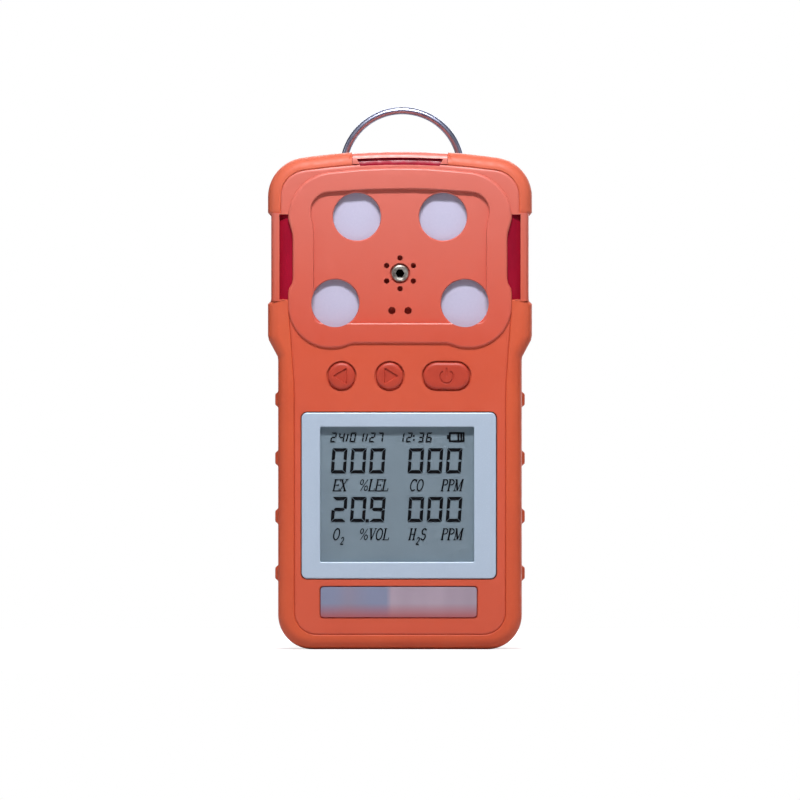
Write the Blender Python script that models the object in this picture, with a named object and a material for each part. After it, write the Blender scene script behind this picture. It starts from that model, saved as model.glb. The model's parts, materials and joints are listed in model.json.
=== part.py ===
"""Portable gas detector: a rubber-sleeved case that stands on its flat bottom, front facing -Y.

Origin: centre of the bottom face. X is to the right seen from the front, Z is up.
All lengths are in metres.
"""

import math

import bmesh
import bpy

MM = 0.001

# Overall size, and the usual gap between neighbours
BODY_HEIGHT = 130.0 * MM
BOOT_FRONT = -16.6 * MM
BOOT_BACK = 17.0 * MM
GAP = 0.3 * MM
OVERCUT = 1.0 * MM

# Rubber boot, seen from the front
LOWER_HALF = 31.7 * MM
SHOULDER_HALF = 34.35 * MM
WAIST_HALF = 33.6 * MM
BOTTOM_CORNER = 9.0 * MM
TAPER_LOW, TAPER_HIGH = 76.2 * MM, 80.6 * MM
WAIST_LOW, WAIST_HIGH = 89.8 * MM, 113.6 * MM
STEP = 0.8 * MM
CROWN_RADIUS = 180.0 * MM
TOP_CORNER = 10.3 * MM
GRIP_HEIGHTS = (19.8 * MM, 34.6 * MM, 49.7 * MM, 65.0 * MM)
GRIP_PROUD = 0.8 * MM
GRIP_HALF = 2.2 * MM
GRIP_FLAT = 1.2 * MM
MIDDLE_HALF = 12.6 * MM
MIDDLE_DROP = 0.3 * MM
BOOT_THICK = 2.75 * MM
# (depth, inset, rib height) of its rounded edge and half its side
BOOT_EDGE = (
    (17.0 * MM, 3.0 * MM, 0.0),
    (16.7 * MM, 1.7 * MM, 0.0),
    (15.6 * MM, 0.6 * MM, 0.0),
    (13.8 * MM, 0.0, 0.0),
    (9.8 * MM, 0.0, 0.0),
    (9.0 * MM, 0.0, GRIP_PROUD),
)

# The opening that the boot's front lip leaves for the face of the case
LIP_BACK = -15.9 * MM
FACE_HALF = 27.45 * MM
FACE_BOTTOM = 3.85 * MM
FACE_CORNER = 5.8 * MM
FACE_FLARE = ((66.0 * MM, 0.0), (78.0 * MM, 0.7 * MM), (90.4 * MM, 1.45 * MM))
BAND = 3.4 * MM

# Case, split across its depth; it also shows through the boot at both windows and the top
CASE_FRONT = -14.6 * MM
CASE_BACK = 15.2 * MM
WALL = 2.0 * MM
PARTING_FRONT = 2.0 * MM
PARTING_BACK = 3.4 * MM
SEAL_OUTER, SEAL_INNER = 0.5 * MM, 1.6 * MM
FACE_FRONT = -16.7 * MM
FACE_CHAMFER = 0.4 * MM
FACE_INNER = -14.8 * MM
REAR_PANEL = (-26.0 * MM, 26.0 * MM, 5.2 * MM, 122.8 * MM)
REAR_PANEL_BACK = 16.6 * MM
REAR_PANEL_CORNER = 5.0 * MM
REAR_PANEL_ROOT = 1.2 * MM
REAR_CHAMFER = 1.0 * MM
POCKET = (-25.2 * MM, 25.2 * MM, 6.2 * MM, 76.6 * MM)
POCKET_CORNER = 3.0 * MM
CHEEK_HALF = WAIST_HALF - 0.1 * MM
CHEEK_INNER = 30.5 * MM
CHEEK_EDGE = ((32.6 * MM, -16.6 * MM), (33.2 * MM, -16.2 * MM), (CHEEK_HALF, -15.2 * MM))
BROW_LOW = 126.5 * MM
BROW_EDGE = ((-16.6 * MM, 1.4 * MM), (-15.9 * MM, 0.5 * MM), (-14.8 * MM, 0.0))
CASE_SCREWS = (
    (-25.5 * MM, 116.0 * MM),
    (25.5 * MM, 116.0 * MM),
    (-23.5 * MM, 9.5 * MM),
    (23.5 * MM, 9.5 * MM),
)
# (radius, y) of a case screw from its head to its tip
CASE_SCREW_PROFILE = (
    (2.2 * MM, 12.2 * MM),
    (2.2 * MM, 10.3 * MM),
    (1.25 * MM, 10.3 * MM),
    (1.25 * MM, -7.0 * MM),
)
BOSS_RADIUS, BORE_RADIUS, SINK_RADIUS = 3.3 * MM, 1.5 * MM, 2.5 * MM
BOSS_FRONT, BOSS_BACK = 1.7 * MM, 3.5 * MM
BORE_TIP = -7.5 * MM
SINK_FLOOR = 10.0 * MM
NOSE_RADIUS, NOSE_TIP = 3.0 * MM, -9.8 * MM

# Sensor cover
COVER_HALF = 29.1 * MM
COVER_WAIST_HALF = 27.9 * MM
COVER_BELLY = ((12.2 * MM, 79.4 * MM), (14.6 * MM, 78.6 * MM))
COVER_BULGE = 78.2 * MM
COVER_CORNER = 11.0 * MM
COVER_PINCH = (93.6 * MM, 95.7 * MM, 107.6 * MM)
COVER_TOP = 125.2 * MM
COVER_CROWN, COVER_TOP_CORNER = 150.0 * MM, 12.0 * MM
COVER_FRONT = -17.4 * MM
COVER_CHAMFER = 0.5 * MM
COVER_PLATE = -16.2 * MM
COVER_BACK = -14.9 * MM
RECESS_HALF = 23.2 * MM
RECESS_LOWER_HALF = 22.4 * MM
RECESS_BOTTOM = 84.9 * MM
RECESS_WIDENS = 109.2 * MM
RECESS_TOP = 119.7 * MM
RECESS_CROWN, RECESS_CORNER, RECESS_CHAMFER = 218.0 * MM, 5.0 * MM, 1.0 * MM
INLET_RADIUS = 6.2 * MM
INLETS = (
    (-11.2 * MM, 112.5 * MM),
    (11.2 * MM, 112.5 * MM),
    (-16.85 * MM, 90.0 * MM),
    (16.85 * MM, 90.0 * MM),
)
FILTER_SEAT_RADIUS, FILTER_RADIUS = 7.3 * MM, 6.9 * MM
FILTER_FRONT, FILTER_BACK = -14.85 * MM, -14.5 * MM
COVER_SCREW = (0.0, 97.8 * MM)
# (radius, y) of the cover screw from its head to its tip
COVER_SCREW_PROFILE = (
    (2.1 * MM, -16.5 * MM),
    (2.4 * MM, -16.2 * MM),
    (2.4 * MM, -15.6 * MM),
    (1.2 * MM, -15.6 * MM),
    (1.2 * MM, -10.4 * MM),
)
HEAD_SEAT_RADIUS, HEAD_SEAT = 2.65 * MM, -15.4 * MM
HEX_RADIUS, HEX_FLOOR = 1.2 * MM, -15.9 * MM
SOUND_RADIUS = 4.0 * MM
SOUND_HOLE = 0.7 * MM
VENTS = ((-2.1 * MM, 88.1 * MM), (2.1 * MM, 88.1 * MM))
VENT_RADIUS = 0.95 * MM
CELL_RADIUS = 10.0 * MM
CELL_CHAMFER = 0.5 * MM
CELL_FRONT, CELL_BACK = -13.6 * MM, 1.7 * MM
GASKET_OUTER, GASKET_INNER = 9.4 * MM, 6.4 * MM
GASKET_FRONT, GASKET_BACK = -14.3 * MM, -13.8 * MM

# Alarm windows and their lights
WINDOW_LOW, WINDOW_HIGH = 91.0 * MM, 113.1 * MM
WINDOW_INNER, WINDOW_OUTER = 29.15 * MM, 31.35 * MM
WINDOW_NOTCH = 28.0 * MM
WINDOW_FRONT = -16.4 * MM
# Heights, from the top, where a window's inner edge starts and stops following the cover's waist
WINDOW_WIDENS = (112.0 * MM, 107.4 * MM, 95.9 * MM, 94.0 * MM)
GUIDE_BACK, GUIDE_SHY = -1.3 * MM, 0.2 * MM
TOP_SLOT_HALF = 11.2 * MM
TOP_SLOT_LEAN = 0.8 * MM
TOP_SLOT_LOW, TOP_SLOT_HIGH = 126.0 * MM, 127.9 * MM
TOP_SLOT_BACK = -14.4 * MM
TOP_WINDOW_FRONT = -16.3 * MM
TOP_GUIDE = (-3.7 * MM, 3.7 * MM, -15.4 * MM, -3.3 * MM, 126.3 * MM, 127.1 * MM)
SIDE_LIGHT_X = 27.7 * MM
SIDE_LIGHT_HALF = 0.9 * MM
SIDE_LIGHT_LOW, SIDE_LIGHT_HIGH = 100.5 * MM, 103.5 * MM
TOP_LIGHT = (-1.5 * MM, 1.5 * MM, 120.8 * MM, 123.4 * MM)
LIGHT_FRONT = -1.0 * MM

# Keys
KEY_HEIGHT = 71.1 * MM
KEY_RADIUS = 3.5 * MM
KEY_SLOT = 3.95 * MM
KEY_LEFT, KEY_RIGHT, KEY_POWER = -15.2 * MM, -2.7 * MM, 12.1 * MM
POWER_HALF = 6.05 * MM
KEY_FRONT = -17.1 * MM
KEY_CHAMFER = 0.4 * MM
KEY_FLANGE_FRONT, KEY_FLANGE = -14.5 * MM, 0.8 * MM
POST_RADIUS, POST_TIP = 1.2 * MM, -13.2 * MM
KEYPAD_BOARD = (-22.0 * MM, 23.0 * MM, -11.4 * MM, -10.4 * MM, 64.0 * MM, 76.0 * MM)
SNAP_DOME_PROFILE = ((1.2 * MM, -12.2 * MM), (2.6 * MM, -11.7 * MM))

# Display and name plate: left, right, low, high
BEZEL = (-25.6 * MM, 25.0 * MM, 18.4 * MM, 61.6 * MM)
BEZEL_CORNER = 2.0 * MM
BEZEL_FRONT, BEZEL_BACK = -16.9 * MM, -15.0 * MM
SCREEN = (-20.8 * MM, 19.3 * MM, 22.7 * MM, 57.9 * MM)
SCREEN_CORNER = 0.8 * MM
PANE_FRONT, PANE_BACK = -16.4 * MM, -15.3 * MM
LCD_MARGIN = 1.6 * MM
LCD_FRONT, LCD_BACK = -14.4 * MM, -9.6 * MM
PLATE = (-20.7 * MM, 20.0 * MM, 8.3 * MM, 16.3 * MM)
PLATE_CORNER = 1.0 * MM
PLATE_FRONT, PLATE_BACK = -16.5 * MM, -16.0 * MM
PLATE_SEAT = -15.7 * MM

# Inside: boxes are left, right, front, back, low, high
SENSOR_BOARD = (-28.4 * MM, 28.4 * MM, 82.5 * MM, 123.8 * MM)
SENSOR_BOARD_CORNER = 7.0 * MM
SENSOR_BOARD_Y = (2.0 * MM, 3.2 * MM)
BOARD_HOLE = 1.6 * MM
MAIN_BOARD = (-24.5 * MM, 24.5 * MM, -9.2 * MM, -8.0 * MM, 14.0 * MM, 78.0 * MM)
BOARD_CONNECTOR = (-6.0 * MM, 6.0 * MM, -7.7 * MM, 3.1 * MM, 73.5 * MM, 77.5 * MM)
BATTERY = (-22.0 * MM, 22.0 * MM, -7.2 * MM, 9.0 * MM, 16.0 * MM, 72.0 * MM)
BATTERY_PAD = (-18.0 * MM, 18.0 * MM, 9.3 * MM, 12.9 * MM, 22.0 * MM, 66.0 * MM)
SOCKET = (-5.5 * MM, 5.5 * MM, 4.0 * MM, 13.4 * MM, 7.9 * MM, 12.6 * MM)
SOCKET_FOOT = (-5.0 * MM, 5.0 * MM, -7.7 * MM, 4.5 * MM, 8.2 * MM, 15.6 * MM)
PLUG_SLOT = (-4.5 * MM, 4.5 * MM, 8.6 * MM, 11.9 * MM)
PLUG_CORNER, PLUG_FLOOR = 1.6 * MM, 6.5 * MM
BUZZER_RADIUS = 6.3 * MM
BUZZER_FRONT, BUZZER_BACK = -3.0 * MM, 1.7 * MM
MOTOR_AXIS = (8.0 * MM, 117.0 * MM)
MOTOR_RADIUS, MOTOR_BORE = 2.2 * MM, 0.6 * MM
MOTOR_LEFT, MOTOR_RIGHT = -9.0 * MM, 2.0 * MM
SHAFT_RADIUS, SHAFT_START, SHAFT_ROOT = 0.4 * MM, 0.7 * MM, 0.5 * MM
WEIGHT_RADIUS, WEIGHT_HUB = 2.9 * MM, 0.8 * MM
WEIGHT_LEFT, WEIGHT_RIGHT = 2.5 * MM, 6.0 * MM

# Behind: the hanging ring and its bracket
RING_RADIUS = 15.4 * MM
RING_CENTRE = 125.2 * MM
RING_SHIFT = 0.6 * MM
RING_PIVOT = (19.4 * MM, 116.0 * MM)
RING_WIRE = 1.0 * MM
RING_BAR = (-7.0 * MM, 0.0, 7.0 * MM)
BRACKET_HALF = 8.5 * MM
BRACKET_LOW, BRACKET_BEND = 103.5 * MM, 113.4 * MM
BRACKET_THICK = 1.3 * MM
BRACKET_KNEE = (1.2 * MM, -2.0 * MM)
SLEEVE_RADIUS, SLEEVE_BORE = 2.3 * MM, 1.2 * MM
RING_SCREWS = ((-5.0 * MM, 107.5 * MM), (5.0 * MM, 107.5 * MM))
FIXING_HOLE, FIXING_DEPTH = 1.55 * MM, 2.0 * MM
# (radius, y) of the screws behind from head to tip
FIXING_PROFILE = (
    (1.9 * MM, 20.0 * MM),
    (2.3 * MM, 19.6 * MM),
    (2.3 * MM, 18.6 * MM),
    (1.25 * MM, 18.6 * MM),
    (1.25 * MM, 13.4 * MM),
)

# Behind: the belt clip
CLIP_PIVOT = (22.4 * MM, 93.0 * MM)
CLIP_SCREWS = ((-6.5 * MM, 99.5 * MM), (6.5 * MM, 99.5 * MM))
CLIP_BASE = (-11.0 * MM, 11.0 * MM, 16.9 * MM, 18.3 * MM, 84.0 * MM, 102.2 * MM)
LUG_RADIUS, LUG_BORE = 2.6 * MM, 1.4 * MM
LUG_INNER, LUG_OUTER = 9.2 * MM, 11.0 * MM
LUG_FOOT = ((18.0 * MM, 88.5 * MM), (20.5 * MM, 88.5 * MM))
LUG_HEEL = (18.0 * MM, 97.5 * MM)
PIN_RADIUS, PIN_HALF = 1.15 * MM, 11.4 * MM
CLIP_HALF, CLIP_THICK = 8.6 * MM, 1.6 * MM
HUB_RADIUS, HUB_BORE = 2.6 * MM, 1.45 * MM
# (y, z) of the clip's arm from its pivot, thumb end first
CLIP_ARM = (
    (3.0 * MM, 12.5 * MM),
    (1.8 * MM, 3.0 * MM),
    (1.8 * MM, -3.0 * MM),
    (2.8 * MM, -13.0 * MM),
    (2.8 * MM, -37.0 * MM),
    (-3.9 * MM, -43.5 * MM),
    (-2.4 * MM, -48.0 * MM),
)
# (y, z) of the leaf spring between the clip's base and its thumb end
SPRING_PATH = (
    (18.9 * MM, 85.5 * MM),
    (18.9 * MM, 97.5 * MM),
    (21.4 * MM, 101.5 * MM),
    (23.9 * MM, 104.2 * MM),
)
SPRING_HALF, SPRING_THICK = 3.4 * MM, 0.4 * MM

# Behind: the flap over the charging socket
PORT_PIVOT = (15.95 * MM, 6.85 * MM)
FLAP_HALF, FLAP_HEIGHT, FLAP_THICK = 7.0 * MM, 7.5 * MM, 1.1 * MM
SOCKET_OPENING = (-5.8 * MM, 5.8 * MM, 12.0 * MM, 18.0 * MM, 7.6 * MM, 12.9 * MM)
FLAP_RECESS = (-7.3 * MM, 7.3 * MM, 15.1 * MM, 18.0 * MM, 6.0 * MM, 14.7 * MM)


# ---------------------------------------------------------------- outlines (x, z)


def arc(cx, cz, radius, start, end, steps):
    """Points on a circle between two angles in degrees, both ends included."""
    points = []
    for i in range(steps + 1):
        a = math.radians(start + (end - start) * i / steps)
        points.append((cx + radius * math.cos(a), cz + radius * math.sin(a)))
    return points


def crown(half, top, crown_radius, corner, steps=5):
    """Right-hand half of a domed top: a corner arc running into a wide arc, ending at the middle."""
    cx = half - corner
    base = top - crown_radius
    cz = base + math.sqrt((crown_radius - corner) ** 2 - cx**2)
    lean = math.degrees(math.atan2(cz - base, cx))
    wide = arc(0.0, base, crown_radius, lean, 90.0, 3)
    return arc(cx, cz, corner, 0.0, lean, steps) + wide[1:]


def mirrored(half):
    """A closed anticlockwise outline from its right half, listed from bottom middle to top middle."""
    right = [p for p in half if p[0] > 1e-6]
    left = [(-x, z) for x, z in reversed(right)]
    bottom = [half[0]] if half[0][0] <= 1e-6 else []
    top = [half[-1]] if half[-1][0] <= 1e-6 else []
    return bottom + right + top + left


def rounded_box(left, right, low, high, radius, steps=3):
    return (
        arc(right - radius, low + radius, radius, -90, 0, steps)
        + arc(right - radius, high - radius, radius, 0, 90, steps)
        + arc(left + radius, high - radius, radius, 90, 180, steps)
        + arc(left + radius, low + radius, radius, 180, 270, steps)
    )


def offset(outline, distance):
    """The outline moved outwards by distance (inwards if negative), keeping its corners."""
    moved = []
    count = len(outline)
    for i, (x, z) in enumerate(outline):
        ax, az = outline[i - 1]
        bx, bz = outline[(i + 1) % count]
        before = math.atan2(z - az, x - ax)
        after = math.atan2(bz - z, bx - x)
        turn = (after - before + math.pi) % (2 * math.pi) - math.pi
        normal = before + turn / 2 - math.pi / 2
        reach = distance / math.cos(turn / 2)
        moved.append((x + reach * math.cos(normal), z + reach * math.sin(normal)))
    return moved


def crown_height(x, inset=0.0):
    """Height of the crown's wide arc at x, moved down by inset."""
    radius = CROWN_RADIUS - inset
    return BODY_HEIGHT - CROWN_RADIUS + math.sqrt(radius**2 - x**2)


def silhouette(waist, grip, drop):
    """The detector seen from the front: waist narrows its sides, grip is how far the ribs stand
    proud, and drop lowers the middle of its top."""
    corner = arc(LOWER_HALF - BOTTOM_CORNER, BOTTOM_CORNER, BOTTOM_CORNER, -90, 0, 5)
    side = []
    for height in GRIP_HEIGHTS:
        side.append((LOWER_HALF, height - GRIP_HALF))
        side.append((LOWER_HALF + grip, height - GRIP_FLAT))
        side.append((LOWER_HALF + grip, height + GRIP_FLAT))
        side.append((LOWER_HALF, height + GRIP_HALF))
    side += [(LOWER_HALF, TAPER_LOW), (SHOULDER_HALF, TAPER_HIGH)]
    if waist:
        side.append((SHOULDER_HALF, WAIST_LOW))
        side.append((WAIST_HALF, WAIST_LOW + STEP))
        side.append((WAIST_HALF, WAIST_HIGH - STEP))
        side.append((SHOULDER_HALF, WAIST_HIGH))
    top = crown(SHOULDER_HALF, BODY_HEIGHT, CROWN_RADIUS, TOP_CORNER)
    top = [p for p in top if p[0] > MIDDLE_HALF + MM]
    top.append((MIDDLE_HALF, crown_height(MIDDLE_HALF)))
    if drop:
        top.append((MIDDLE_HALF - drop, crown_height(MIDDLE_HALF, drop)))
    top += [(MIDDLE_HALF / 2, crown_height(MIDDLE_HALF / 2, drop)), (0.0, BODY_HEIGHT - drop)]
    return mirrored(corner + side + top)


def case_outline():
    return offset(silhouette(False, 0.0, 0.0), -BOOT_THICK)


def face_outline():
    """The opening in the boot's front: a narrow panel below, the full case above."""
    side = arc(FACE_HALF - FACE_CORNER, FACE_BOTTOM + FACE_CORNER, FACE_CORNER, -90, 0, 5)
    side += [(FACE_HALF + flare, height) for height, flare in FACE_FLARE]
    half = SHOULDER_HALF - BAND
    side.append((half, WINDOW_LOW))
    top = crown(half, BODY_HEIGHT - BAND, CROWN_RADIUS - BAND, TOP_CORNER - BAND)
    return mirrored(side + top)


def cover_half():
    """Right half of the sensor cover's outline."""
    cx, cz = COVER_HALF - COVER_CORNER, COVER_BULGE + COVER_CORNER
    corner = arc(cx, cz, COVER_CORNER, -96, 0, 5)
    low, narrow, wide = COVER_PINCH
    waist = [(COVER_HALF, low), (COVER_WAIST_HALF, narrow), (COVER_WAIST_HALF, wide)]
    top = crown(COVER_HALF, COVER_TOP, COVER_CROWN, COVER_TOP_CORNER)
    return list(COVER_BELLY) + corner + waist + top


def recess_outline():
    chamfer = RECESS_CHAMFER
    half = [(RECESS_LOWER_HALF - chamfer, RECESS_BOTTOM)]
    half.append((RECESS_LOWER_HALF, RECESS_BOTTOM + chamfer))
    half.append((RECESS_LOWER_HALF, RECESS_WIDENS))
    return mirrored(half + crown(RECESS_HALF, RECESS_TOP, RECESS_CROWN, RECESS_CORNER, 4))


def brow_outline(inset):
    """The top of the case where it shows through the boot, above the sensor cover."""
    half = MIDDLE_HALF - GAP
    steps = (1.0, 0.5, 0.0)
    top = [(half * i, crown_height(half * i, MIDDLE_DROP + inset)) for i in steps]
    return mirrored([(half, BROW_LOW)] + top)


def rear_panel(grow):
    """The raised panel behind, or with grow the boot's opening round it."""
    left, right, low, high = REAR_PANEL
    inset = GAP - grow
    return rounded_box(
        left + inset, right - inset, low + inset, high - inset, REAR_PANEL_CORNER, 4
    )


# ---------------------------------------------------------------- solids


def clear_scene():
    for obj in list(bpy.data.objects):
        bpy.data.objects.remove(obj, do_unlink=True)


def material(name, colour, roughness, metallic=0.0, alpha=1.0):
    found = bpy.data.materials.get(name)
    if found:
        return found
    made = bpy.data.materials.new(name)
    made.use_nodes = True
    shader = made.node_tree.nodes["Principled BSDF"]
    shader.inputs["Base Color"].default_value = (*colour, 1.0)
    shader.inputs["Roughness"].default_value = roughness
    shader.inputs["Metallic"].default_value = metallic
    shader.inputs["Alpha"].default_value = alpha
    made.diffuse_color = (*colour, 1.0)
    return made


def orange_rubber():
    return material("orange_rubber", (0.62, 0.13, 0.05), 0.55)


def orange_plastic():
    return material("orange_plastic", (0.66, 0.14, 0.06), 0.4)


def alarm_red():
    return material("alarm_red", (0.35, 0.01, 0.03), 0.15)


def steel():
    return material("steel", (0.7, 0.7, 0.72), 0.25, 1.0)


def satin_silver():
    return material("satin_silver", (0.55, 0.6, 0.68), 0.35, 0.8)


def membrane():
    return material("membrane", (0.75, 0.73, 0.8), 0.7)


def dark_rubber():
    return material("dark_rubber", (0.03, 0.03, 0.035), 0.7)


def board_green():
    return material("board_green", (0.02, 0.16, 0.07), 0.5)


def pale_plastic():
    return material("pale_plastic", (0.6, 0.6, 0.58), 0.5)


def screen_glass():
    return material("screen_glass", (0.2, 0.26, 0.3), 0.1)


def black_plastic():
    return material("black_plastic", (0.02, 0.02, 0.022), 0.45)


def pivot(name, y, z, x=0.0):
    """An empty on a joint's axis, which carries the moving piece."""
    empty = bpy.data.objects.new(name, None)
    empty.location = (x, y, z)
    empty.empty_display_size = 0.005
    bpy.context.collection.objects.link(empty)
    return empty


def finish(name, mesh_data, surface):
    bmesh.ops.remove_doubles(mesh_data, verts=mesh_data.verts, dist=1e-7)
    bmesh.ops.recalc_face_normals(mesh_data, faces=mesh_data.faces)
    mesh = bpy.data.meshes.new(name)
    mesh_data.to_mesh(mesh)
    mesh_data.free()
    mesh.shade_smooth()
    mesh.set_sharp_from_angle(angle=math.radians(35))
    obj = bpy.data.objects.new(name, mesh)
    bpy.context.collection.objects.link(obj)
    if surface:
        obj.data.materials.append(surface)
    return obj


def loft(name, loops, surface=None, closed=False):
    """A solid through loops of (x, y, z) points; open lofts get end caps, closed ones join up."""
    shape = bmesh.new()
    rings = [[shape.verts.new(point) for point in loop] for loop in loops]
    pairs = list(zip(rings, rings[1:]))
    if closed:
        pairs.append((rings[-1], rings[0]))
    for first, second in pairs:
        count = len(first)
        for i in range(count):
            j = (i + 1) % count
            shape.faces.new((first[i], first[j], second[j], second[i]))
    if not closed:
        shape.faces.new(rings[0])
        shape.faces.new(rings[-1])
    return finish(name, shape, surface)


def at_depth(outline, y):
    return [(x, y, z) for x, z in outline]


def prism(name, outline, front, back, surface=None):
    """An (x, z) outline run from one depth to another."""
    return loft(name, [at_depth(outline, front), at_depth(outline, back)], surface)


def side_prism(name, outline, left, right, surface=None):
    """A (y, z) outline run from left to right."""
    loops = [[(x, y, z) for y, z in outline] for x in (left, right)]
    return loft(name, loops, surface)


def box(name, left, right, front, back, low, high, surface=None):
    outline = [(left, low), (right, low), (right, high), (left, high)]
    return prism(name, outline, front, back, surface)


def turned(name, centre, profile, sides, surface=None, hollow=False):
    """A solid of revolution about a line along Y through (x, z); profile is (radius, y) pairs."""
    loops = []
    for radius, y in profile:
        ring = arc(centre[0], centre[1], radius, 0, 360 - 360 / sides, sides - 1)
        loops.append(at_depth(ring, y))
    return loft(name, loops, surface, closed=hollow)


def rod(name, centre, radius, front, back, sides, surface=None):
    return turned(name, centre, [(radius, front), (radius, back)], sides, surface)


def cross_rod(name, centre, radius, left, right, sides, surface=None):
    """A cylinder along X through (y, z)."""
    ring = arc(centre[0], centre[1], radius, 0, 360 - 360 / sides, sides - 1)
    return side_prism(name, ring, left, right, surface)


def helper(obj):
    obj.hide_render = True
    obj.display_type = "WIRE"
    return obj


def combine(body, others, operation):
    for other in others:
        helper(other)
        modifier = body.modifiers.new(operation.lower(), "BOOLEAN")
        modifier.operation = operation
        modifier.object = other
    return body


def cut(body, *others):
    return combine(body, others, "DIFFERENCE")


def join(body, *others):
    return combine(body, others, "UNION")


def mount_on(obj, empty):
    """Parents an object to an empty, keeping it where it is."""
    obj.data.transform(empty.matrix_world.inverted())
    obj.parent = empty
    return obj


# ---------------------------------------------------------------- outer pieces


def make_boot():
    loops = []
    for depth, inset, rib in BOOT_EDGE:
        outline = offset(silhouette(True, rib, MIDDLE_DROP), -inset)
        loops.append((depth, outline))
    shift = BOOT_FRONT + BOOT_BACK
    front = [at_depth(outline, shift - depth) for depth, outline in loops]
    back = [at_depth(outline, depth) for depth, outline in reversed(loops)]
    boot = loft("boot", front + back, orange_rubber())
    sleeve = offset(case_outline(), GAP / 2)
    ahead, behind = BOOT_FRONT - OVERCUT, PARTING_FRONT + GAP
    low, high = WINDOW_LOW - GAP, WINDOW_HIGH + GAP
    middle, wide = MIDDLE_HALF - GAP / 2, SHOULDER_HALF + OVERCUT
    cheek = CHEEK_INNER + GAP / 2
    return cut(
        boot,
        prism("cut_case", sleeve, LIP_BACK, CASE_BACK + GAP),
        prism("cut_face", face_outline(), ahead, LIP_BACK + OVERCUT),
        prism("cut_cover", offset(mirrored(cover_half()), GAP), ahead, LIP_BACK + OVERCUT),
        prism("cut_back", rear_panel(GAP), CASE_BACK, BOOT_BACK + OVERCUT),
        box("cut_cheek_right", cheek, wide, ahead, behind, low, high),
        box("cut_cheek_left", -wide, -cheek, ahead, behind, low, high),
        box("cut_brow", -middle, middle, ahead, behind, BROW_LOW - GAP, BODY_HEIGHT + OVERCUT),
    )


def top_slot(inset):
    """Outline of the slot for the top alarm window, bowed like the crown."""
    low, high = TOP_SLOT_LOW + inset, TOP_SLOT_HIGH - inset
    half = TOP_SLOT_HALF - inset
    sag = TOP_SLOT_HALF**2 / (2 * CROWN_RADIUS)
    return mirrored([(0.0, low), (half - TOP_SLOT_LEAN, low - sag), (half, high - sag), (0.0, high)])


def sound_holes(name, radius, front, back):
    """Six holes round the cover screw and two below it."""
    holes = []
    x, z = COVER_SCREW
    for i in range(6):
        a = math.radians(90 + 60 * i)
        centre = (x + SOUND_RADIUS * math.cos(a), z + SOUND_RADIUS * math.sin(a))
        holes.append(rod(f"{name}_sound_{i}", centre, radius, front, back, 8))
    for i, centre in enumerate(VENTS):
        holes.append(rod(f"{name}_vent_{i}", centre, VENT_RADIUS, front, back, 8))
    return holes


def add_cheek(case, side):
    """The side of the case beside an alarm window, flush with the boot's waist."""
    edge = [(CHEEK_INNER, CHEEK_EDGE[0][1]), *CHEEK_EDGE]
    edge += [(CHEEK_HALF, PARTING_FRONT), (CHEEK_INNER, PARTING_FRONT)]
    loops = []
    for z in (WINDOW_LOW - GAP / 6, WINDOW_HIGH + GAP / 6):
        loops.append([(side * x, y, z) for x, y in edge])
    return join(case, loft(f"add_cheek_{side}", loops))


def cut_for_fittings(case):
    """Seats for the display, name plate and keys in the face of the case."""
    front = FACE_FRONT - OVERCUT
    left, right, low, high = BEZEL
    seat = rounded_box(left - GAP, right + GAP, low - GAP, high + GAP, BEZEL_CORNER + GAP)
    cut(case, prism("cut_bezel", seat, front, FACE_INNER + GAP))
    left, right, low, high = PLATE
    seat = rounded_box(left - GAP, right + GAP, low - GAP, high + GAP, PLATE_CORNER)
    cut(case, prism("cut_plate", seat, front, PLATE_SEAT))
    floor = CASE_FRONT + WALL + OVERCUT
    for i, x in enumerate((KEY_LEFT, KEY_RIGHT)):
        cut(case, rod(f"cut_key_{i}", (x, KEY_HEIGHT), KEY_SLOT, front, floor, 20))
    cut(case, prism("cut_power", power_outline(KEY_SLOT), front, floor))


def cut_for_windows(case):
    front = FACE_FRONT - OVERCUT
    low, high = WINDOW_LOW, WINDOW_HIGH
    inner, outer = WINDOW_INNER, WINDOW_OUTER
    start, stop = CASE_FRONT - OVERCUT, GUIDE_BACK + GAP
    x0, x1, _, guide_back, z0, z1 = TOP_GUIDE
    cut(
        case,
        box("cut_right", WINDOW_NOTCH, outer, front, CASE_FRONT, low, high),
        box("cut_left", -outer, -WINDOW_NOTCH, front, CASE_FRONT, low, high),
        box("cut_guide_right", inner, outer, start, stop, low, high),
        box("cut_guide_left", -outer, -inner, start, stop, low, high),
        box("cut_top", x0 - GAP, x1 + GAP, start, guide_back + GAP, z0 - 2 * OVERCUT, z1 + GAP),
        prism("cut_top_slot", top_slot(0.0), front, TOP_SLOT_BACK),
    )


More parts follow.
